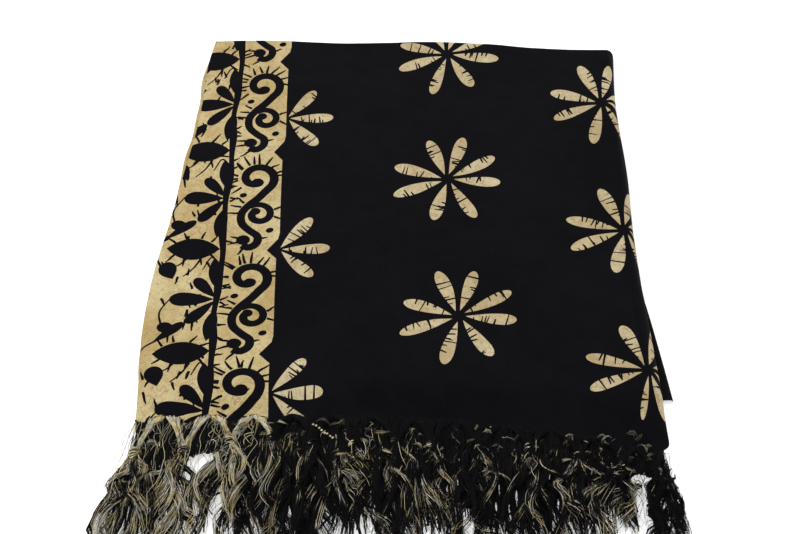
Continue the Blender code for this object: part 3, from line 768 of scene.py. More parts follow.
def spaced(start, end, first, middle, last, fine_run=0.035):
    """Shares from 0 to 1 of a run from start to end, with closer steps near both ends."""
    length = end - start
    at, values = 0.0, [0.0]
    while at < length:
        near_start, near_end = at < fine_run, length - at < fine_run * 1.6
        at += first if near_start else last if near_end else middle
        values.append(at)
    return np.array(values) / values[-1]


def sheet_grid():
    """Cloth points (s, t) of the grid. The edges depend on each other, so a few rounds settle them. Rows
    for the turned edges at the selvage and the hem come last."""
    a, b = np.meshgrid(spaced(-0.27, 0.33, *GRID_STEPS), spaced(0.0, 0.64, *GRID_STEPS))
    s, t = -0.27 + 0.60 * a, 0.0 + 0.63 * b
    for _ in range(4):
        top = eased(FAR_FOLD, s) - FAR_ROUND + quarter(FAR_ROUND, DROP_RUN)
        hem = hem_line(s)
        t = hem + (top - hem) * b
        right = eased(RIGHT_EDGE, t) - SIDE_ROUND + quarter(SIDE_ROUND, SIDE_RUN)
        left = eased(LEFT_EDGE, t)
        s = left + (right - left) * a
    turned_rows = len(TURNED_EDGE)
    s = np.concatenate([s[:, :1].T - TURNED_EDGE, s.T]).T
    t = np.concatenate([np.repeat(t[:, :1].T, turned_rows, axis=0), t.T]).T
    t = np.concatenate([t[:1] - TURNED_EDGE, t])
    s = np.concatenate([np.repeat(s[:1], turned_rows, axis=0), s])
    return s, t


print("grid of the cloth, rows and columns:", sheet_grid()[0].shape)

# %% [markdown]
# ## One triangulation for cloth and print
# The outlines could be cut into a finished mesh with a knife, but that fails in folds. Here the
# grid's points, its border and the outlines go into one constrained Delaunay triangulation while
# all is flat. It returns for each triangle the outlines that cover it, and the last one drawn gives
# its tone. Then the cloth is laid in space, so the print follows every fold.
# %% Printed sheet


def sheet_piece():
    """The printed sheet, cut along the print and laid over the stack."""
    s, t = sheet_grid()
    rows, columns = s.shape
    points = np.stack([s.ravel(), t.ravel()], axis=-1)
    index = np.arange(rows * columns).reshape(rows, columns)
    border = np.concatenate([index[0], index[1:, -1], index[-1, -2::-1], index[-2:0:-1, 0]])
    faces, tones, joined = [border.tolist()], [BLACK], [points]
    count = len(points)
    for tone, outline in print_shapes():
        faces.append(list(range(count, count + len(outline))))
        tones.append(tone)
        joined.append(outline)
        count += len(outline)
    flat = [Vector(p) for p in np.concatenate(joined).tolist()]
    vertices, _, triangles, _, _, covers = delaunay_2d_cdt(flat, [], faces, 0, 1e-6)
    flat = np.array([tuple(v) for v in vertices])
    kept = [(f, tones[max(c)]) for f, c in zip(triangles, covers) if 0 in c]
    tone = [t for _, t in kept]
    corners = np.array([f for f, _ in kept])
    space = lay(flat[:, 0], flat[:, 1])
    piece = new_piece("printed_sheet", space, corners.tolist(), [black_cloth, cream_cloth], tone)
    uv = piece.data.uv_layers.new(name="cloth")
    uv.data.foreach_set("uv", flat[corners.ravel()].astype(np.float32).ravel())
    return piece


sheet = sheet_piece()
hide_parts("top_panel")
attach(sheet, "root")
print("printed sheet:", len(sheet.data.polygons), "faces")

# %% [markdown]
# ## The layers below
# The cloth is folded in half and in thirds, so at the open side five more layers show under the
# printed one, each a little out of line. They could be one solid block with steps, but cloth has
# soft rolled edges and dark gaps, so each is a leaf of its own that only reaches a little inwards.
# Near the fringe the lower fold stands out past the centre fold as a flap. A flat leaf closes the
# underside.
# %% Leaves at the open side
LEAVES = (  # share of the stack's height, setback from the edge, phase of its waves
    (0.93, 0.0012, 0.4), (0.76, -0.0002, 1.9), (0.58, 0.0022, 3.1), (0.40, 0.0008, 4.4), (0.22, 0.0030, 5.2),
)
PEEKING_LEAF = 2  # this one comes out past the others
PEEK = ((0, 0), (0.300, 0.0005), (0.380, 0.0040), (0.460, 0.0060), (0.540, 0.0045), (0.600, 0.0010))
LEAF_EDGE = 0.00045  # radius of its rolled edge
LEAF_COLUMNS = np.array((-0.0024, -0.0016, -0.0008, 0, 0.003, 0.008, 0.02, 0.05))  # over the edge and inwards
LEAF_FOLD_RUN = 0.009
LOWEST = 0.0004  # the lowest cloth lies this high over the table


def grid_faces(rows, columns, first=0):
    """Quads through a grid of points."""
    index = np.arange(rows * columns).reshape(rows, columns) + first
    corners = (index[:-1, :-1], index[:-1, 1:], index[1:, 1:], index[1:, :-1])
    return np.stack(corners, axis=-1).reshape(-1, 4).tolist()


def leaf_sheet(share, setback, phase):
    """One hidden leaf: its share of the stack's height times a quarter round at both folds. Its edge is the
    sheet's edge with a setback and two sines, and turns down in a half circle."""
    v, w = np.meshgrid(np.linspace(0, 1, 90), LEAF_COLUMNS, indexing="ij")
    near, far = eased(NEAR_FOLD, -0.25) + 0.002, eased(FAR_FOLD, -0.24) - 0.002
    y = near + (far - near) * v
    run = np.minimum(y - near, far - y)
    round_off = np.sqrt(np.clip(1 - (1 - np.clip(run / LEAF_FOLD_RUN, 0, 1)) ** 2, 0, 1))
    edge = eased(LEFT_EDGE, y) + setback + 0.0011 * np.sin(y * 37 + phase)
    edge = edge + 0.0006 * np.sin(y * 90 + 2 * phase)
    edge = edge + 0.006 * (1 - round_off)
    turn = np.clip(-w / LEAF_EDGE, 0, math.pi)
    x = edge + np.where(w < 0, -LEAF_EDGE * np.sin(turn), w)
    z = (stack_height(x, y) - 0.0014) * share * round_off - LEAF_EDGE * (1 - np.cos(turn))
    z = z + 0.0004 * np.sin(y * 55 + phase * 1.7) * np.exp(-np.maximum(w, 0) / 0.01)
    z = z - 0.0012 * np.clip(w / 0.05, 0, 1)
    return np.stack([x, y, np.maximum(z, LOWEST)], axis=-1), np.stack([x, y + phase], axis=-1)


# %% Flap and underside
FLAP_FAR = 0.580  # y where the flap ends


def flap_sheet():
    """The lower layers' fold, standing out past the panel near the fringe: a quarter ellipse on a drawn
    edge, joined to a row under the panel."""
    v, turn = np.meshgrid(np.linspace(0, 1, 70), np.radians(np.linspace(0, 90, 7)), indexing="ij")
    near = eased(NEAR_FOLD, 0.30) - 0.0005
    y = near + (FLAP_FAR - near) * v
    out = eased(RIGHT_EDGE, y) + eased(FLAP_OUT, y) - 0.0012 * (1 - flap_share(y, 0.027))
    high = 0.0052 - 0.002 * (1 - flap_share(y, 0.027))
    x = out - 0.0045 * (1 - np.sin(turn))
    z = 0.0006 + high * np.cos(turn)
    inner = np.stack([out[:, :1] - 0.030, y[:, :1], high[:, :1] + 0.0004], axis=-1)
    return np.concatenate([inner, np.stack([x, y, z], axis=-1)], axis=1)


def underside():
    """A flat leaf on the table under the whole stack."""
    b, a = np.meshgrid(np.linspace(0, 1, 24), np.linspace(0, 1, 20), indexing="ij")
    x = -0.25 + 0.5 * a
    for _ in range(3):
        y = eased(NEAR_FOLD, x) + 0.006 + (eased(FAR_FOLD, x) - 0.012 - eased(NEAR_FOLD, x)) * b
        left, right = eased(LEFT_EDGE, y) + 0.012, eased(RIGHT_EDGE, y) - 0.006
        x = left + (right - left) * a
    return np.stack([x, y, np.full_like(x, LOWEST)], axis=-1)


# %% Hidden layers as one piece


def layers_piece():
    """All hidden layers as one piece. The leaves show the pale edge of the border, the rest is black."""
    grids, cloth_points = [], []
    for number, leaf_row in enumerate(LEAVES):
        grid, cloth = leaf_sheet(*leaf_row)
        if number == PEEKING_LEAF:
            grid[..., 0] -= eased(PEEK, grid[..., 1]) + 0.0022
        grids.append(grid)
        cloth_points.append(cloth)
    for grid in (flap_sheet(), underside()):
        grids.append(grid)
        cloth_points.append(grid[..., :2])
    vertices, faces, slots, flat = [], [], [], []
    count = 0
    for number, (grid, cloth) in enumerate(zip(grids, cloth_points)):
        quads = grid_faces(*grid.shape[:2], count)
        faces += quads
        slots += [int(number < len(LEAVES))] * len(quads)
        vertices.append(grid.reshape(-1, 3))
        flat.append(cloth.reshape(-1, 2))
        count += grid.shape[0] * grid.shape[1]
    piece = new_piece("folded_leaves", np.concatenate(vertices), faces, [black_cloth, cream_cloth], slots)
    uv = piece.data.uv_layers.new(name="cloth")
    corners = np.array(faces).ravel()
    uv.data.foreach_set("uv", np.concatenate(flat)[corners].astype(np.float32).ravel())
    return piece


layers = layers_piece()
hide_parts("folded_layers")
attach(layers, "root")
print("hidden layers:", len(layers.data.polygons), "faces")

# %% [markdown]
# ## The fringe
# The fringe is the cloth's own warp: the threads leave the hem, draw together in a knot and spread
# again as kinked locks on the table. A hair system could grow them, but then a thread knows nothing
# of its knot. Here each thread is a path from formulas, and a thin three-sided tube goes round it.
# %% Numbers of the fringe
THREADS, CORE = 274, 26  # through each knot: fine ones, and thick dark ones below them
LOOSE, UNDER = 26, 99  # strays beside the knot, and the lower layer's fringe behind it
WRAPS = 12  # turns of yarn round the knot
WISPS, WISP_THREADS = 5, 7  # light curls that lie on top, near the hem
LOCKS = 13
SPECKS, SPECKLED = 8, 5  # light dots in a short row, in the fifth tassel's piece
SPECKS_FROM, SPECKS_TO = np.array((-0.0810, -0.0020)), np.array((-0.0600, -0.0190))
STATIONS = 24
THREAD_RADIUS = 0.00038
HEM_ENDS = (-0.2712, 0.2850)
LAST_TIP = -0.150  # threads that run past it are drawn back
ROOT_INSET, ROOT_DROP = 0.0015, 0.0006  # where a thread leaves the hem, under its top
GATHER_HALF, ROLL_APART = 0.0240, 0.0160  # half width that one knot draws in, and its three rolls
KNOT_HEIGHT = 0.0080
SHORT = 1 / 4  # share of the stations that lies between hem and knot
LOWEST_THREAD, HIGHEST_THREAD = 0.0003, 0.022
LIGHTNESS = (0.50, 0.51, 0.47, 0.36, 0.17, 0.33, 0.24, 0.30, 0.23, 0.22, 0.27, 0.30, 0.08)  # by tassel
FANS = {1: (0.6, 1), 2: (1, 0.25), 3: (0.05, 1), 12: (1, 0.2), 13: (0.1, 0.3)}  # spread left and right
SHORT_UNDER = {2: 0.16, 12: 0.12, 13: 0.22}  # where the white table shows between two tassels
USUAL_FAN, USUAL_UNDER = (1, 1), 0.85
print(len(TASSELS), "tassels of", THREADS + CORE + LOOSE + UNDER + WRAPS + WISPS * WISP_THREADS, "threads")

# %% [markdown]
# ## A tube round each thread
# A curve object with a bevel also makes tubes, but six thousand of them are slow. One formula for
# all threads at once is quick: at each station three points stand round the path, in the plane of
# its side and its up direction, and quads join them to the next three.
# %% Tubes and waves


def tubes(paths, radius):
    """Three-sided tubes round paths (threads, stations, 3): path + radius * (side cos + up sin) at three
    turns, thinner by 1 - 0.55 share^6 to the tip. Returns vertices and faces."""
    tangent = np.gradient(paths, axis=1)
    tangent /= np.linalg.norm(tangent, axis=2, keepdims=True) + 1e-12
    side = np.cross(tangent, np.array((0.12, 0.23, 1.0)))
    side /= np.linalg.norm(side, axis=2, keepdims=True) + 1e-12
    up = np.cross(side, tangent)
    turn = np.radians((90, 210, 330))
    ring = side[:, :, None] * np.cos(turn)[:, None] + up[:, :, None] * np.sin(turn)[:, None]
    share = np.linspace(0, 1, paths.shape[1])[None, :, None, None]
    points = paths[:, :, None] + ring * radius[:, :, None, None] * (1 - 0.55 * share**6)
    count, stations = paths.shape[:2]
    index = np.arange(count * stations * 3).reshape(count, stations, 3)
    after = np.roll(index, -1, axis=2)
    quads = np.stack([index[:, :-1], after[:, :-1], after[:, 1:], index[:, 1:]], axis=-1).reshape(-1, 4)
    return points.reshape(-1, 3), quads


def bezier(a, b, c, d, t):
    """Cubic from a to d that leaves towards b and arrives from c."""
    return a * (1 - t) ** 3 + 3 * b * (1 - t) ** 2 * t + 3 * c * (1 - t) * t**2 + d * t**3


def waves(random, shape, t, turns, size):
    """Waves along threads: size * sin(2 pi turns t + phase), flatter in y and z than in x."""
    phase = random.uniform(0, 2 * math.pi, (*shape, 1, 3))
    turns = random.uniform(*turns, (*shape, 1, 3))
    return size * np.sin(2 * math.pi * turns * t + phase) * np.array((1.0, 0.6, 0.55))


def disc_offsets(random, count, wide, high):
    """Random places in an oval, as offsets in x and z. The root of an even draw fills it evenly."""
    swirl, depth = random.uniform(0, 2 * math.pi, count), np.sqrt(random.uniform(0, 1, count))
    x, z = wide * depth * np.cos(swirl), high * depth * np.sin(swirl)
    return np.stack([x, np.zeros(count), z], axis=-1)[:, None]


# %% [markdown]
# ## From the hem to the knot
# Between the hem and a knot the threads show as three rolls, the middle one low and dark. Straight
# threads would only make a flat fan, so each thread starts at its own root in the hem, joins the
# middle line of its roll and follows it into the knot.
# %% Gathers


def gathers(row, random, t):
    """Hem to knot: roll's cubic + root offset * (1 - drawn) + place in the roll * drawn * (1 - tied)
    + place in the knot * tied, where drawn and tied are smooth steps along t."""
    knot_x, knot_y = row[:2]
    count = THREADS + CORE
    root_x = knot_x + np.linspace(-GATHER_HALF, GATHER_HALF, count) + random.normal(0, 0.0012, count)
    root_x = np.clip(root_x, *HEM_ENDS) + random.normal(0, 0.0006, count)
    roll = np.clip(np.round((root_x - knot_x) / 0.0150), -1, 1)
    roll_x = knot_x + ROLL_APART * roll + random.normal(0, 0.0015, 3)[(roll + 1).astype(int)]
    root_z, roll_z = np.full(count, HEM_TOP - ROOT_DROP), np.full(count, HEM_TOP)
    root = np.stack([root_x, hem_line(root_x) + ROOT_INSET, root_z], axis=-1)[:, None]
    start = np.stack([roll_x, hem_line(roll_x) + ROOT_INSET, roll_z], axis=-1)[:, None]
    knot = np.array((knot_x, knot_y, KNOT_HEIGHT))
    rise = np.stack([0 * roll, np.full(count, -0.008), 0.003 + 0.004 * np.abs(roll)], axis=-1)[:, None]
    middle = bezier(start, start + rise, knot + np.array((0, 0.009, 0.002)), knot, t)
    inside = disc_offsets(random, count, 0.0032, 0.0026)
    in_knot = disc_offsets(random, count, 0.0056, 0.0056)
    drawn, tied = smoothstep(t / 0.55), smoothstep((t - 0.5) / 0.5)
    path = middle + (root - start) * (1 - drawn) + inside * drawn * (1 - tied) + in_knot * tied
    return path, in_knot, roll


# %% [markdown]
# ## Locks below the knot
# The photo shows yarn in locks that wave together, lie over each other and end in loose tips. So a
# lock is one cubic with waves, and its threads stay close to it, with a twist and small waves of
# their own. A few thick threads below close the tassel's middle, as the many hidden ones do; they are
# black all along, partly for the black yarn and partly as painted shade inside the tassel.
# %% Locks


def tassel_paths(row, fan, random):
    """One tassel's threads: paths, dye values, radii, and the roll that each one comes from. A path is
    its lock's line + its offset, wider to the tip, + its own waves."""
    knot_x, knot_y, from_x, to_x, tip_y, sway = row
    count = THREADS + CORE
    lock = np.sort(random.integers(0, LOCKS, count))[random.permutation(count)]
    order = np.argsort(np.argsort(np.arange(LOCKS) + random.normal(0, 2.5, LOCKS)))
    lock_x = np.linspace(from_x - 0.001, to_x + 0.005, LOCKS)[order] + random.normal(0, 0.003, LOCKS)
    lock_y = tip_y + random.normal(0.006, 0.012, LOCKS)
    tip = np.stack([lock_x, lock_y, random.uniform(0.002, 0.012, LOCKS)], axis=-1)
    cut = int(STATIONS * SHORT)
    first, in_knot, roll = gathers(row, random, np.linspace(0, 1, cut)[None, :, None])
    t = np.linspace(0, 1, STATIONS - cut + 1)[None, 1:, None]
    spread = (order / (LOCKS - 1) - 0.5) * 0.042
    spread = spread * np.where(spread < 0, fan[0], fan[1])
    knot = np.array((knot_x, knot_y, KNOT_HEIGHT))
    bulge_y = random.normal(-0.022, 0.004, LOCKS)
    bulge = np.stack([spread + sway, bulge_y, random.uniform(0, 0.008, LOCKS)], axis=-1)
    arrive = np.array((0, 0.042, 0.004)) + random.normal(0, 0.007, (LOCKS, 3))
    middle = bezier(knot, (knot + bulge)[:, None], (tip + arrive)[:, None], tip[:, None], t)
    middle = middle + smoothstep(t / 0.4) * waves(random, (LOCKS,), t, (1.0, 2.3), 0.0074)
    inside = disc_offsets(random, count, 0.0040, 0.0016)
    twist = 2 * math.pi * random.uniform(-0.5, 0.5, (LOCKS, 1, 1))[lock] * t
    wide = inside[..., :1] * np.cos(twist) + 1.6 * inside[..., 2:] * np.sin(twist)
    ahead = random.normal(0, 0.006, (count, 1, 1)) * t**2
    offset = np.concatenate([wide, ahead, inside[..., 2:] + 0 * t], axis=-1)
    apart = waves(random, (count,), t, (1.0, 3.0), 0.0009) + waves(random, (count,), t, (4.0, 7.0), 0.0004)
    drawn = smoothstep(t / 0.25)
    second = middle[lock] + in_knot * (1 - drawn) + offset * drawn * (0.8 + 0.9 * t**2)
    second = second + drawn * apart * random.gamma(1.6, 0.6, (count, 1, 1))
    paths = np.concatenate([first, second], axis=1)
    along = np.linspace(0, 1, STATIONS)
    lock_phase, lock_turns = random.uniform(0, 1, LOCKS), random.uniform(0.8, 2.2, LOCKS)
    value = 0.5 + 0.5 * np.sin(2 * math.pi * (lock_turns[lock][:, None] * along + lock_phase[lock][:, None]))
    value = 0.4 * value + 0.6 * random.uniform(0, 1, (count, 1))
    core = random.permutation(count)[:CORE]
    # the thick threads below are black all along: partly black yarn, partly painted shade of the tassel's
    # inside
    value[core] = 0.0
    paths[core, :, 2] = 0.0018 + 0.55 * paths[core, :, 2]
    radius = THREAD_RADIUS * random.uniform(0.7, 1.2, (count, 1)) * np.ones(STATIONS)
    radius[core] = 0.0004 + 0.0014 * smoothstep(np.linspace(0, 3.2, STATIONS))
    return paths, value, radius, roll


# %% [markdown]
# ## Curls and small dots
# On top lie a few light curls, each a little flat bundle, and left of the middle a short row of
# tiny light dots. What the dots are can't be told from the photo. Both could be painted on, but
# small arcs of yarn catch the light as the rest does.
# %% Curls and dots


def wisp_paths(row, random):
    """Small light curls: a few threads side by side along an arc whose reach halves with its turn."""
    t = np.linspace(0, 1, STATIONS)
    place = np.array(row[:2]) + random.uniform((-0.022, -0.016), (0.022, 0.030), (WISPS, 2))
    place[:, 0] = np.clip(place[:, 0], HEM_ENDS[0] + 0.010, HEM_ENDS[1] - 0.014)
    turn = random.uniform(0, 2 * math.pi, (WISPS, 1))
    way = random.choice((-1, 1), (WISPS, 1))
    turn = turn + way * random.uniform(0.8, 2.2, (WISPS, 1)) * t
    side = np.linspace(-1, 1, WISP_THREADS)[None, :, None] * 0.0012 * np.sin(math.pi * (0.1 + 0.8 * t))
    reach = (random.uniform(0.005, 0.014, (WISPS, 1)) * (1 - 0.5 * t))[:, None] + side
    reach = reach + random.normal(0, 0.0006, (WISPS, WISP_THREADS, 1)) * (1 + t)
    x = place[:, :1, None] + reach * np.cos(turn)[:, None]
    y = place[:, 1:, None] + 0.8 * reach * np.sin(turn)[:, None]
    z = 0.0075 + 0.0045 * np.sin(math.pi * t) + random.uniform(-0.003, 0.003, (WISPS, 1, 1)) + 0 * reach
    paths = np.stack([x, y, z], axis=-1).reshape(-1, STATIONS, 3)
    radius = THREAD_RADIUS * 0.9 * np.sin(math.pi * (0.06 + 0.88 * t)) * np.ones((len(paths), 1))
    value = np.repeat(random.uniform(0.70, 1.0, WISPS), WISP_THREADS)[:, None]
    value = value * random.uniform(0.7, 1, (len(paths), 1))
    return paths, value * np.ones(STATIONS), radius


def speck_paths(random):
    """A short row of tiny light loops that lie on the dark gathers left of the middle."""
    turn = np.linspace(0, 2 * math.pi, STATIONS)
    share = np.linspace(0, 1, SPECKS)[:, None] + random.normal(0, 0.02, (SPECKS, 1))
    place = SPECKS_FROM + share * (SPECKS_TO - SPECKS_FROM) + random.normal(0, 0.0005, (SPECKS, 2))
    x, y = place[:, :1] + 0.0008 * np.cos(turn), place[:, 1:] + 0.0006 * np.sin(turn)
    paths = np.stack([x, y, np.full((SPECKS, STATIONS), 0.0138)], axis=-1)
    radius = 0.0006 * random.uniform(0.7, 1.3, (SPECKS, 1)) * np.ones(STATIONS)
    return paths, np.full((SPECKS, STATIONS), 1.1), radius


# %% [markdown]
# ## Threads that miss the knot
# Some threads slip past every knot and fall from the hem in wide kinks. Between two knots the lower
# layer's fringe shows through, as dark bundles that leave white table free at two places. Without
# these two the tassels would hang from the hem like separate brushes.
# %% Strays and the lower fringe


def stray_paths(row, random):
    """Loose threads that miss the knot: a cubic from hem to tip + wide and narrow waves that fade in."""
    knot_x, _, from_x, to_x, tip_y, _ = row
    root_x = np.clip(knot_x + random.uniform(-0.0245, 0.0245, LOOSE), *HEM_ENDS)
    root = np.stack([root_x, hem_line(root_x) + ROOT_INSET, np.full(LOOSE, HEM_TOP - ROOT_DROP)], axis=-1)
    fall = random.uniform(0.30, 0.95, LOOSE)
    middle = (from_x + to_x) / 2
    tip_x = root_x + (middle - knot_x) * fall + random.normal(0, 0.006, LOOSE)
    end_y = root[:, 1] + (tip_y - root[:, 1]) * fall
    tip = np.stack([tip_x, end_y, random.uniform(0.002, 0.016, LOOSE)], axis=-1)
    t = np.linspace(0, 1, STATIONS)[None, :, None]
    leave = np.array((0, -0.02, 0.010)) + random.normal(0, 0.004, (LOOSE, 3))
    arrive = np.array((0, 0.03, 0.004)) + random.normal(0, 0.008, (LOOSE, 3))
    paths = bezier(root[:, None], (root + leave)[:, None], (tip + arrive)[:, None], tip[:, None], t)
    kinks = waves(random, (LOOSE,), t, (1.2, 2.8), 0.0042) + waves(random, (LOOSE,), t, (3.0, 6.0), 0.0011)
    inward = np.clip((np.minimum(root_x - HEM_ENDS[0], HEM_ENDS[1] - root_x) / 0.02), 0.15, 1)
    kinks = kinks * inward[:, None, None]
    radius = THREAD_RADIUS * random.uniform(0.6, 1.0, (LOOSE, 1)) * np.ones(STATIONS)
    bands = np.sin(np.linspace(0, 9, STATIONS) + root_x[:, None] * 900) ** 2
    value = random.uniform(0, 1, (LOOSE, 1)) * 0.7 + 0.3 * bands
    return paths + smoothstep(t / 0.45) * kinks, value, radius


def under_paths(row, after, reach, random):
    """The lower layer's fringe between two knots: cubics that narrow half-way between them and spread
    again below. Three in four are thick and dark, and they are longer beside the knots."""
    middle = (np.array(row[:2]) + np.array(after[:2])) / 2
    half = abs(after[0] - row[0]) / 2 + 0.002
    root_x = np.clip(middle[0] + np.linspace(-half, half, UNDER) + random.normal(0, 0.0004, UNDER), *HEM_ENDS)
    root = np.stack([root_x, hem_line(root_x) + ROOT_INSET, np.full(UNDER, 0.0012)], axis=-1)
    beside = np.abs(2 * np.arange(UNDER) / UNDER - 1)
    fall = np.minimum(random.uniform(0.70, 1.0, UNDER) * reach + 0.22 * beside**2, 1.0)
    tip_y = (row[4] + after[4]) / 2
    tip_x = middle[0] + (np.arange(UNDER) / UNDER - 0.5) * 1.9 * half + random.normal(0, 0.004, UNDER)
    end_y = root[:, 1] + (tip_y - root[:, 1]) * fall
    tip = np.stack([tip_x, end_y, random.uniform(0.001, 0.006, UNDER)], axis=-1)
    t = np.linspace(0, 1, STATIONS)[None, :, None]
    waist_x, waist_y = middle[0] + (root_x - middle[0]) * 0.85, np.full(UNDER, middle[1] - 0.006)
    waist = np.stack([waist_x, waist_y, random.uniform(0.002, 0.010, UNDER)], axis=-1)
    paths = bezier(root[:, None], waist[:, None], waist[:, None] + np.array((0, -0.012, 0)), tip[:, None], t)
    kinks = waves(random, (UNDER,), t, (1.0, 2.6), 0.0024)
    radius = np.tile(0.0013 + 0.0002 * smoothstep(np.linspace(0, 3.2, STATIONS)), (UNDER, 1))
    value = np.zeros((UNDER, STATIONS))
    fine_ones = np.arange(UNDER) % 4 == 0
    value[fine_ones] = 0.25 + 0.6 * np.sin(np.linspace(0, 7, STATIONS) + random.uniform(0, 3)) ** 2
    radius[fine_ones] = THREAD_RADIUS
    return paths + smoothstep(t / 0.5) * kinks, value, radius


# %% [markdown]
# ## Wraps and dye
# The knot is the bundle's own yarn wound round it. It could be one closed loop with a bump, but the
# turns of yarn are what shows, so it is twelve tilted rings. The dye is the cloth's own at the hem,
# and below it changes along each thread between cream and black, as resist-dyed yarn does. It is
# stored at each point, and the yarn's material reads it.
# %% Wraps round a knot, and the dye


def dyed(value, hem_dye, lightness, random):
    """Dye at each station: a smooth step to 1 where the value passes 1 - lightness. Near the hem it
    blends into the dye of the cloth."""
    along = np.linspace(0, 1, STATIONS)[None]
    dye = smoothstep((value - (1 - lightness) + 0.08) / 0.16)
    near = 1 - smoothstep((along - 0.20) / 0.14)
    dye = dye * random.uniform(0.62, 1.12, (len(value), 1))
    return dye + (hem_dye[:, None] - dye) * near


def knot_paths(row, random):
    """Wraps of yarn round the knot: tilted circles on an ellipsoid, radius 0.0060 sqrt(1 - share^2)."""
    knot_x, knot_y = row[:2]
    turn = np.linspace(0, 2 * math.pi, STATIONS)[None]
    along = np.linspace(-0.0052, 0.0052, WRAPS)[:, None] + random.normal(0, 0.0006, (WRAPS, 1))
    radius = 0.0060 * np.sqrt(1 - (along / 0.0072) ** 2)
    tilt = random.uniform(-0.5, 0.5, (WRAPS, 1))
    x = knot_x + radius * np.cos(turn)
    z = KNOT_HEIGHT + 0.0002 + radius * np.sin(turn)
    y = knot_y + along + tilt * radius * np.cos(turn + random.uniform(0, 3, (WRAPS, 1)))
    return np.stack([x, y, np.maximum(z, 0.0010)], axis=-1)


# %% [markdown]
# ## One piece for each tassel
# All threads of a tassel join in one piece. Left of the border's edge its threads start in cream,
# the rest in black, as the cloth's own yarns do. Threads stay above the table, and the photo cuts
# the tips off, so threads that run on too far are drawn back.
# %% Fringe pieces
WRAP_RADIUS = 0.0009


def fringe_threads(number, row, random):
    """Paths, radii and dye of one tassel, its strays, lower fringe, wraps and curls."""
    lightness = LIGHTNESS[number - 1]
    tied, tied_value, tied_radius, roll = tassel_paths(row, FANS.get(number, USUAL_FAN), random)
    stray, stray_value, stray_radius = stray_paths(row, random)
    wraps = knot_paths(row, random)
    after = TASSELS[number] if number < len(TASSELS) else (row[0] + 0.012, *row[1:])
    reach = SHORT_UNDER.get(number, USUAL_UNDER)
    under, under_value, under_radius = under_paths(row, after, reach, random)
    wisp, wisp_value, wisp_radius = wisp_paths(row, random)
    paths = np.concatenate([tied, stray, under, wraps, wisp])
    wrap_radius = np.full(wraps.shape[:2], WRAP_RADIUS)
    radius = np.concatenate([tied_radius, stray_radius, under_radius, wrap_radius, wisp_radius])
    paths[..., 2] = np.clip(paths[..., 2], radius + LOWEST_THREAD, HIGHEST_THREAD)
    y = paths[..., 1]
    paths[..., 1] = np.where(y < LAST_TIP, LAST_TIP + 0.25 * (y - LAST_TIP), y)
    cream = (tied[:, 0, 0] < BAND_EDGE) & (roll != 0) & (random.uniform(0, 1, len(tied)) < 0.88)
    wrap_value = np.tile(random.uniform(0, 0.9, (len(wraps), 1)), STATIONS)
    dye = np.concatenate([
        dyed(tied_value, cream * random.uniform(0.78, 1.05, len(tied)), lightness, random),
        dyed(stray_value, (stray[:, 0, 0] < BAND_EDGE) * 0.8, lightness, random),
        dyed(under_value, np.zeros(UNDER), lightness, random),
        dyed(wrap_value, wrap_value[:, 0] * (row[0] < BAND_EDGE), lightness, random),
        wisp_value * (0.80 + 0.2 * lightness),
    ])
    return paths, radius, dye


for number, row in enumerate(TASSELS, 1):
    random = np.random.default_rng(40 + number)
    paths, radius, dye = fringe_threads(number, row, random)
    if number == SPECKLED:
        speck, speck_dye, speck_radius = speck_paths(random)
        paths, dye = np.concatenate([paths, speck]), np.concatenate([dye, speck_dye])
        radius = np.concatenate([radius, speck_radius])
    vertices, quads = tubes(paths, radius)
    piece = new_piece(f"fringe_{number:02d}", vertices, quads.tolist(), [yarn])
    attribute = piece.data.attributes.new("dye", "FLOAT", "POINT")
    attribute.data.foreach_set("value", np.repeat(dye.ravel(), 3).astype(np.float32))
    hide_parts(f"tassel_{number:02d}")
    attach(piece, "root")

# %% [markdown]
# ## Floor
# The photo was taken on a white table that shows almost no shade, only a soft shadow beside the
# cloth. A plane in plain white would turn grey away from the lamp, so it glows a little. It is so
# large that its end can't be seen from a low side view.
# %% Floor
FLOOR_REACH, FLOOR_GLOW = 24.0, 0.55


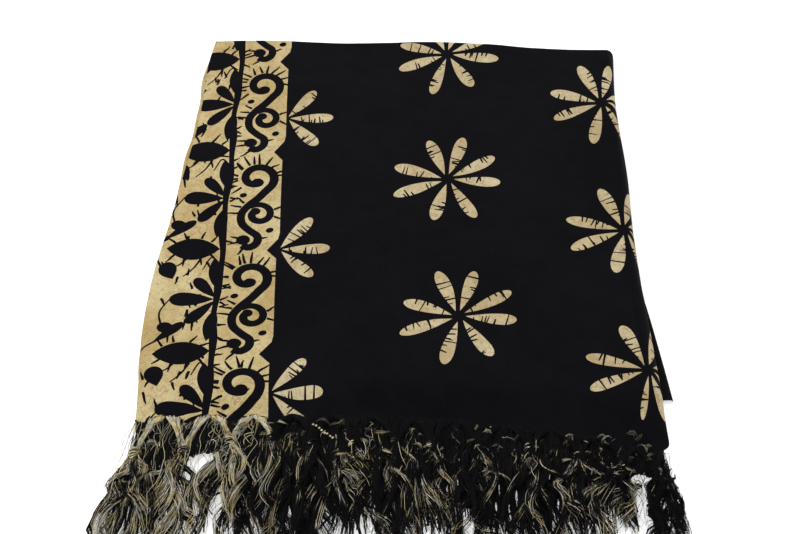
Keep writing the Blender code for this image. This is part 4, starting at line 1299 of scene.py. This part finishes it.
def stage_floor():
    """A white square on the table's level that glows a little, so that only contact shadows darken it."""
    material, _, shader, _ = material_nodes("white_table")
    shader.inputs["Base Color"].default_value = (0.9, 0.9, 0.9, 1)
    shader.inputs["Roughness"].default_value = 0.9
    shader.inputs["Specular IOR Level"].default_value = 0.0
    shader.inputs["Emission Color"].default_value = (1, 1, 1, 1)
    shader.inputs["Emission Strength"].default_value = FLOOR_GLOW
    mesh = bpy.data.meshes.new("floor")
    signs = ((-1, -1), (1, -1), (1, 1), (-1, 1))
    corners = [(x * FLOOR_REACH, y * FLOOR_REACH, 0) for x, y in signs]
    mesh.from_pydata(corners, [], [(0, 1, 2, 3)])
    mesh.materials.append(material)
    floor = bpy.data.objects.new("floor", mesh)
    bpy.context.collection.objects.link(floor)


stage_floor()

# %% [markdown]
# ## Light
# The photo's light is even, with faint shades on the right of folds and knots. A white world lights
# everything alike, and one large soft lamp at the far left gives those shades their direction.
# %% Light
WORLD_STRENGTH = 0.80


def soft_light(name, place, aim, size, watts):
    """A square lamp at a place, turned to its aim."""
    lamp = bpy.data.lights.new(name, "AREA")
    lamp.size = size
    lamp.energy = watts
    holder = bpy.data.objects.new(name, lamp)
    holder.location = place
    holder.rotation_euler = (Vector(aim) - Vector(place)).to_track_quat("-Z", "Y").to_euler()
    bpy.context.collection.objects.link(holder)


world = bpy.data.worlds.new("studio")
bpy.context.scene.world = world
world.use_nodes = True
world.node_tree.nodes["Background"].inputs["Color"].default_value = (1.0, 1.0, 1.0, 1)
world.node_tree.nodes["Background"].inputs["Strength"].default_value = WORLD_STRENGTH
soft_light("key", place=(-0.9, 0.5, 1.6), aim=(0, 0, 0), size=0.9, watts=9.0)
print("lamps:", len(bpy.data.lights), "and a world of strength", WORLD_STRENGTH)

# %% [markdown]
# ## Camera
# The cloth's long edges come together towards the top of the photo. A camera could be set by eye,
# but their convergence and the usual size of such a cloth fix it: a 54 mm lens that looks down at
# 50.8 degrees.
# %% Camera
CAMERA_HEIGHT, CAMERA_BACK = 1.0997, 0.9139
PITCH, HEADING = math.radians(50.8), math.radians(0.875)
camera = bpy.data.objects.new("camera", bpy.data.cameras.new("camera"))
camera.data.lens = 54.0
camera.data.sensor_width = 36.0
camera.location = (-0.0073, -CAMERA_BACK, CAMERA_HEIGHT)
ahead = Vector((math.cos(PITCH) * math.sin(HEADING), math.cos(PITCH) * math.cos(HEADING), -math.sin(PITCH)))
camera.rotation_euler = ahead.to_track_quat("-Z", "Y").to_euler()
bpy.context.collection.objects.link(camera)
bpy.context.scene.camera = camera
bpy.context.scene.view_settings.view_transform = "Standard"
print("camera:", camera.data.lens, "mm, pitch", round(math.degrees(PITCH), 1), "degrees")
